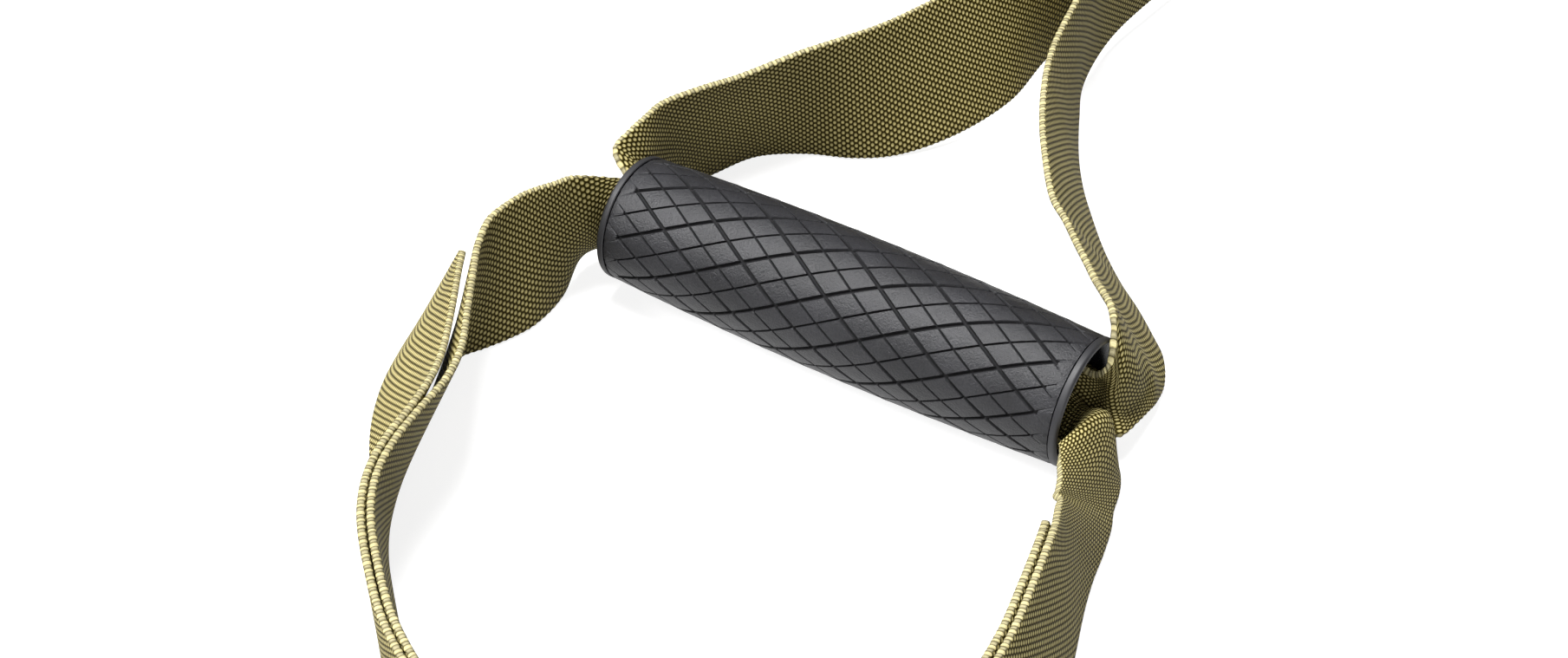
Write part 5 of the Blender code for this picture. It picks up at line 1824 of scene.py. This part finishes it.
        for row in range(self.starts):
            for offset in range(-reach, reach + 1):
                other = row - offset
                rows = self.lines(row, line_pitch) + [row + 1.0]
                columns = self.lines(other, line_pitch) + [other + 1.0]
                # Each pad's painted shade, a fixed random value for it.
                shade = (math.sin(row * 12.9898 + offset * 78.233) * 43758.5453) % 1.0
                for low, high in zip(rows, rows[1:]):
                    for left, right in zip(columns, columns[1:]):
                        corners = ((low, left), (high, left), (high, right), (low, right))
                        faces.append(tuple(vertex(*corner) for corner in corners))
                        pads.append(shade)
        mesh = bpy.data.meshes.new(name)
        mesh.from_pydata(points, [], faces)
        mesh.attributes.new("pad_shade", "FLOAT", "FACE").data.foreach_set("value", pads)
        mesh.attributes.new("groove", "FLOAT", "POINT").data.foreach_set("value", grooves)
        return placed(name, mesh)

    def sleeve(self, name: str) -> bpy.types.Object:
        """The finished sleeve: the skin cut square, turned in at both ends and closed on its bore.

        Args:
            name: The piece's name.

        Returns:
            The sleeve in the grip's own frame.
        """
        item = self.skin(name)
        half = self.half_sleeve()
        shape = bmesh.new()
        shape.from_mesh(item.data)
        for sign in (1, -1):
            geometry = shape.verts[:] + shape.edges[:] + shape.faces[:]
            bmesh.ops.bisect_plane(shape, geom=geometry, plane_co=(0, 0, sign * half), plane_no=(0, 0, sign),
                                   clear_outer=True)
        inner = self.sizes.grip_bore + self.wall + self.sizes.fit_gap
        rims = []
        for sign in (1, -1):
            rim = [edge for edge in shape.edges if edge.is_boundary and edge.verts[0].co.z * sign > 0]
            made = bmesh.ops.extrude_edge_only(shape, edges=rim)["geom"]
            for vertex in (part for part in made if isinstance(part, bmesh.types.BMVert)):
                scale = inner / math.hypot(vertex.co.x, vertex.co.y)
                vertex.co = (vertex.co.x * scale, vertex.co.y * scale, sign * half)
            rims.append([part for part in made if isinstance(part, bmesh.types.BMEdge)])
        bmesh.ops.bridge_loops(shape, edges=rims[0] + rims[1])
        bmesh.ops.recalc_face_normals(shape, faces=shape.faces)
        shape.to_mesh(item.data)
        shape.free()
        item.data.shade_smooth()
        item.data.set_sharp_from_angle(angle=math.radians(62))
        return item

    def cap_profile(self) -> list[tuple[float, float]]:
        """A cap's section: spigot, rounded flange and flared mouth.

        Returns:
            Pairs of radius and height, round the section.
        """
        size, lip = self.sizes, self.lip
        face, seat = size.grip_length / 2, size.grip_length / 2 - self.flange
        outer, bore = size.grip_end_radius, size.grip_bore
        core, chamfer = bore + self.wall, 0.0002
        points = [(outer - lip + lip * math.sin(angle), face - lip + lip * math.cos(angle))
                  for angle in np.linspace(0, math.pi / 2, 6)]
        points += [(outer, seat + chamfer), (outer - chamfer, seat), (core, seat), (core, seat - self.spigot)]
        depth = self.flange + self.flare
        points += [(bore, seat - self.spigot), (bore, face - depth)]
        return points + [(bore + self.flare * share ** 2.2, face - depth * (1 - share))
                         for share in (0.25, 0.5, 0.7, 0.85, 0.97)]

    def mark_funnel(self, mesh: bpy.types.Mesh) -> None:
        """Mark the faces of a cap's funnel, which is finished apart from its flange.

        Args:
            mesh: The cap's mesh, in the grip's own frame.
        """
        limit = self.sizes.grip_end_radius - 0.0008
        inside = [float(math.hypot(face.center.x, face.center.y) < limit) for face in mesh.polygons]
        mesh.attributes.new("funnel", "FLOAT", "FACE").data.foreach_set("value", inside)

    def build(self, half: Half, wardrobe: Wardrobe) -> None:
        """Build and dress the grip.

        Args:
            half: The half that it belongs to.
            wardrobe: The finishes.
        """
        place = half.turn @ self.seat()
        side = half.label
        sleeve = self.sleeve(f"{side}_grooved_sleeve")
        mount(sleeve, place, wardrobe.rubber, f"{side}_grip", f"{side}_grip_sleeve")
        for end, flip in (("near", Matrix.Identity(4)), ("far", Matrix.Rotation(math.pi, 4, "X"))):
            cap = Bench.spun(f"{side}_{end}_flared_cap", self.cap_profile(), self.steps)
            self.mark_funnel(cap.data)
            mount(cap, place @ flip, wardrobe.cap, f"{side}_grip", f"{side}_grip_cap_{end}")
        end = self.half_sleeve() - self.spigot
        inner, outer = self.sizes.grip_bore, self.sizes.grip_bore + self.wall
        section = [(outer, end), (outer, -end), (inner, -end), (inner, end)]
        core = Bench.spun(f"{side}_core_tube", section, self.steps)
        mount(core, place, wardrobe.core, f"{side}_grip", f"{side}_grip_core")
        LOG.info("%s grip: %d faces in the sleeve", side, len(sleeve.data.polygons))


def mount(item: bpy.types.Object, place: Matrix, material: bpy.types.Material, body: str, node: str) -> None:
    """Place a finished piece, give it its finish and let it stand for a solid.

    Args:
        item: The piece.
        place: The matrix that places it.
        material: Its finish.
        body: The body that it rides on.
        node: The solid that it replaces.
    """
    item.data.transform(place)
    item.data.materials.clear()
    item.data.materials.append(material)
    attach(item, body)
    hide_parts(node)


class Bench:
    """The modelling operators, with their selections made in code."""

    weld = 0.000005

    @staticmethod
    def clear() -> None:
        """Leave edit mode with nothing selected."""
        if bpy.context.object and bpy.context.object.mode != "OBJECT":
            bpy.ops.object.mode_set(mode="OBJECT")
        bpy.ops.object.select_all(action="DESELECT")

    @staticmethod
    def spun(name: str, profile: Sequence[tuple[float, float]], steps: int) -> bpy.types.Object:
        """Draw a closed section by extruding one point, and spin it about Z.

        Args:
            name: The piece's name.
            profile: Pairs of radius and height.
            steps: How many steps go round.

        Returns:
            The turned piece.
        """
        Bench.clear()
        bpy.ops.mesh.primitive_plane_add(size=0.001, location=(0, 0, 0))
        item = bpy.context.object
        item.name = name
        bpy.ops.object.mode_set(mode="EDIT")
        bpy.ops.mesh.select_all(action="SELECT")
        bpy.ops.mesh.merge(type="CENTER")
        bpy.ops.transform.translate(value=(profile[0][0], 0, profile[0][1]))
        for (radius, height), (next_radius, next_height) in zip(profile, [*profile[1:], profile[0]]):
            step = (next_radius - radius, 0, next_height - height)
            bpy.ops.mesh.extrude_vertices_move(TRANSFORM_OT_translate={"value": step})
        bpy.ops.mesh.select_all(action="SELECT")
        bpy.ops.mesh.remove_doubles(threshold=Bench.weld)
        bpy.ops.mesh.spin(steps=steps, angle=math.tau, center=(0, 0, 0), axis=(0, 0, 1))
        bpy.ops.mesh.select_all(action="SELECT")
        bpy.ops.mesh.remove_doubles(threshold=Bench.weld)
        bpy.ops.mesh.normals_make_consistent(inside=False)
        bpy.ops.object.mode_set(mode="OBJECT")
        bpy.ops.object.shade_smooth_by_angle(angle=math.radians(38))
        return item


# --------------------------------------------------------------------------------------------------- studio
@dataclass
class Studio:
    """The pale floor, the soft lamps and the camera.

    Attributes:
        camera_place: Where the camera stands.
        camera_tilt: Its angle from looking straight down.
        lens: Its focal length in millimetres.
        sensor: Its sensor's width in millimetres.
        floor_size: The floor's width.
        floor_drop: How far the floor lies under the trainer, so that the two never share a plane.
        aim: Where the lamps point.
        ambient: The world's light.
    """

    camera_place: tuple[float, float, float] = (-0.301, -0.5103, 0.4255)
    camera_tilt: float = math.radians(48)
    lens: float = 59.1
    sensor: float = 36.0
    floor_size: float = 12.0
    floor_drop: float = 0.0002
    aim: tuple[float, float, float] = (-0.28, -0.03, 0.0)
    ambient: float = 0.15

    def camera(self) -> None:
        """Add the camera at the photograph's viewing angle."""
        data = bpy.data.cameras.new("camera")
        data.lens = self.lens
        data.sensor_width = self.sensor
        data.clip_start = 0.01
        item = placed("camera", data)
        item.location = self.camera_place
        item.rotation_euler = (self.camera_tilt, 0, 0)
        bpy.context.scene.camera = item

    def floor(self) -> None:
        """Lay the floor."""
        Bench.clear()
        bpy.ops.mesh.primitive_grid_add(x_subdivisions=8, y_subdivisions=8, size=self.floor_size,
                                        location=(0, 0, -self.floor_drop))
        floor = bpy.context.object
        floor.name = "floor"
        floor.data.transform(Matrix.Translation(floor.location))
        floor.location = (0, 0, 0)
        floor.data.materials.append(FloorFinish().material())

    def lamp(self, name: str, place: Sequence[float], size: float, power: float) -> None:
        """Add a soft square lamp.

        Args:
            name: The lamp's name.
            place: Where it stands.
            size: Its width.
            power: Its power in watts.
        """
        data = bpy.data.lights.new(name, "AREA")
        data.size = size
        data.energy = power
        item = placed(name, data)
        item.location = place
        item.rotation_euler = (Vector(self.aim) - Vector(place)).to_track_quat("-Z", "Y").to_euler()

    def lamps(self) -> None:
        """Light the trainer softly, most of it from the upper left."""
        self.lamp("key", (-1.20, -0.10, 0.85), 0.35, 17.0)
        self.lamp("top", (-0.45, -0.05, 1.45), 0.45, 34.0)
        self.lamp("front", (-0.35, -1.4, 0.7), 0.7, 7.0)
        world = bpy.data.worlds.new("world")
        world.use_nodes = True
        background = world.node_tree.nodes["Background"]
        background.inputs["Color"].default_value = (1, 1, 1, 1)
        path = world.node_tree.nodes.new("ShaderNodeLightPath")
        strength = world.node_tree.nodes.new("ShaderNodeMapRange")
        strength.inputs["To Min"].default_value = self.ambient
        strength.inputs["To Max"].default_value = 1.0
        world.node_tree.links.new(path.outputs["Is Camera Ray"], strength.inputs["Value"])
        world.node_tree.links.new(strength.outputs["Result"], background.inputs["Strength"])
        bpy.context.scene.world = world
        bpy.context.scene.view_settings.view_transform = "Standard"

    def build(self) -> None:
        """Set up the whole studio."""
        self.camera()
        self.floor()
        self.lamps()


def dress_solids(wardrobe: Wardrobe) -> None:
    """Give the solids that stay their finishes.

    Args:
        wardrobe: The finishes.
    """
    finishes: dict[str, bpy.types.Material] = {
        "link_ring": wardrobe.steel, "buckle_frame": wardrobe.buckle, "cam_pin": wardrobe.steel,
        "cam_spring": wardrobe.spring, "cam_lever": wardrobe.cam, "pull_tab": wardrobe.tab,
    }
    single = {
        "anchor_ring": wardrobe.steel, "carabiner_body": wardrobe.alloy, "carabiner_gate": wardrobe.alloy,
        "gate_pin": wardrobe.steel, "gate_plunger": wardrobe.steel, "gate_spring": wardrobe.spring,
    }
    for half in Half:
        for part, material in finishes.items():
            single[f"{half.label}_{part}"] = material
    for name, material in single.items():
        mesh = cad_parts[name].data
        mesh.materials.clear()
        mesh.materials.append(material)


def main() -> None:
    """Build the scene piece by piece."""
    logging.basicConfig(level=logging.INFO, format="%(message)s")
    Studio().build()
    wardrobe = Wardrobe()
    sizes = Trainer()
    ring = sizes.anchor_wire
    to_buckle = EyedStrap(sizes, sizes.buckle_strap, sizes.webbing_width, ring, sizes.buckle_wire)
    to_carabiner = EyedStrap(sizes, sizes.anchor_strap, sizes.anchor_width, ring, sizes.carabiner_wire)
    reach = Matrix.Translation((sizes.anchor_bar, 0, 0))
    quarter = Matrix.Rotation(math.pi / 2, 4, "Z")
    for half in Half:
        for kind in (HandleStrap, FootCradle, MainStrap, Grip):
            kind(sizes).build(half, wardrobe)
        side = half.label
        holder = Strap(f"{side}_buckle_strap", "root", ("anchor_ring", f"{side}_buckle_frame"), Hold.FOLDED)
        to_buckle.build(holder, half.turn @ quarter @ reach, wardrobe.webbing, wardrobe.thread)
    holder = Strap("anchor_strap", "root", ("anchor_ring", "carabiner_body"), Hold.FOLDED)
    to_carabiner.build(holder, reach, wardrobe.narrow_webbing, wardrobe.thread)
    dress_solids(wardrobe)


if __name__ == "__main__":
    main()
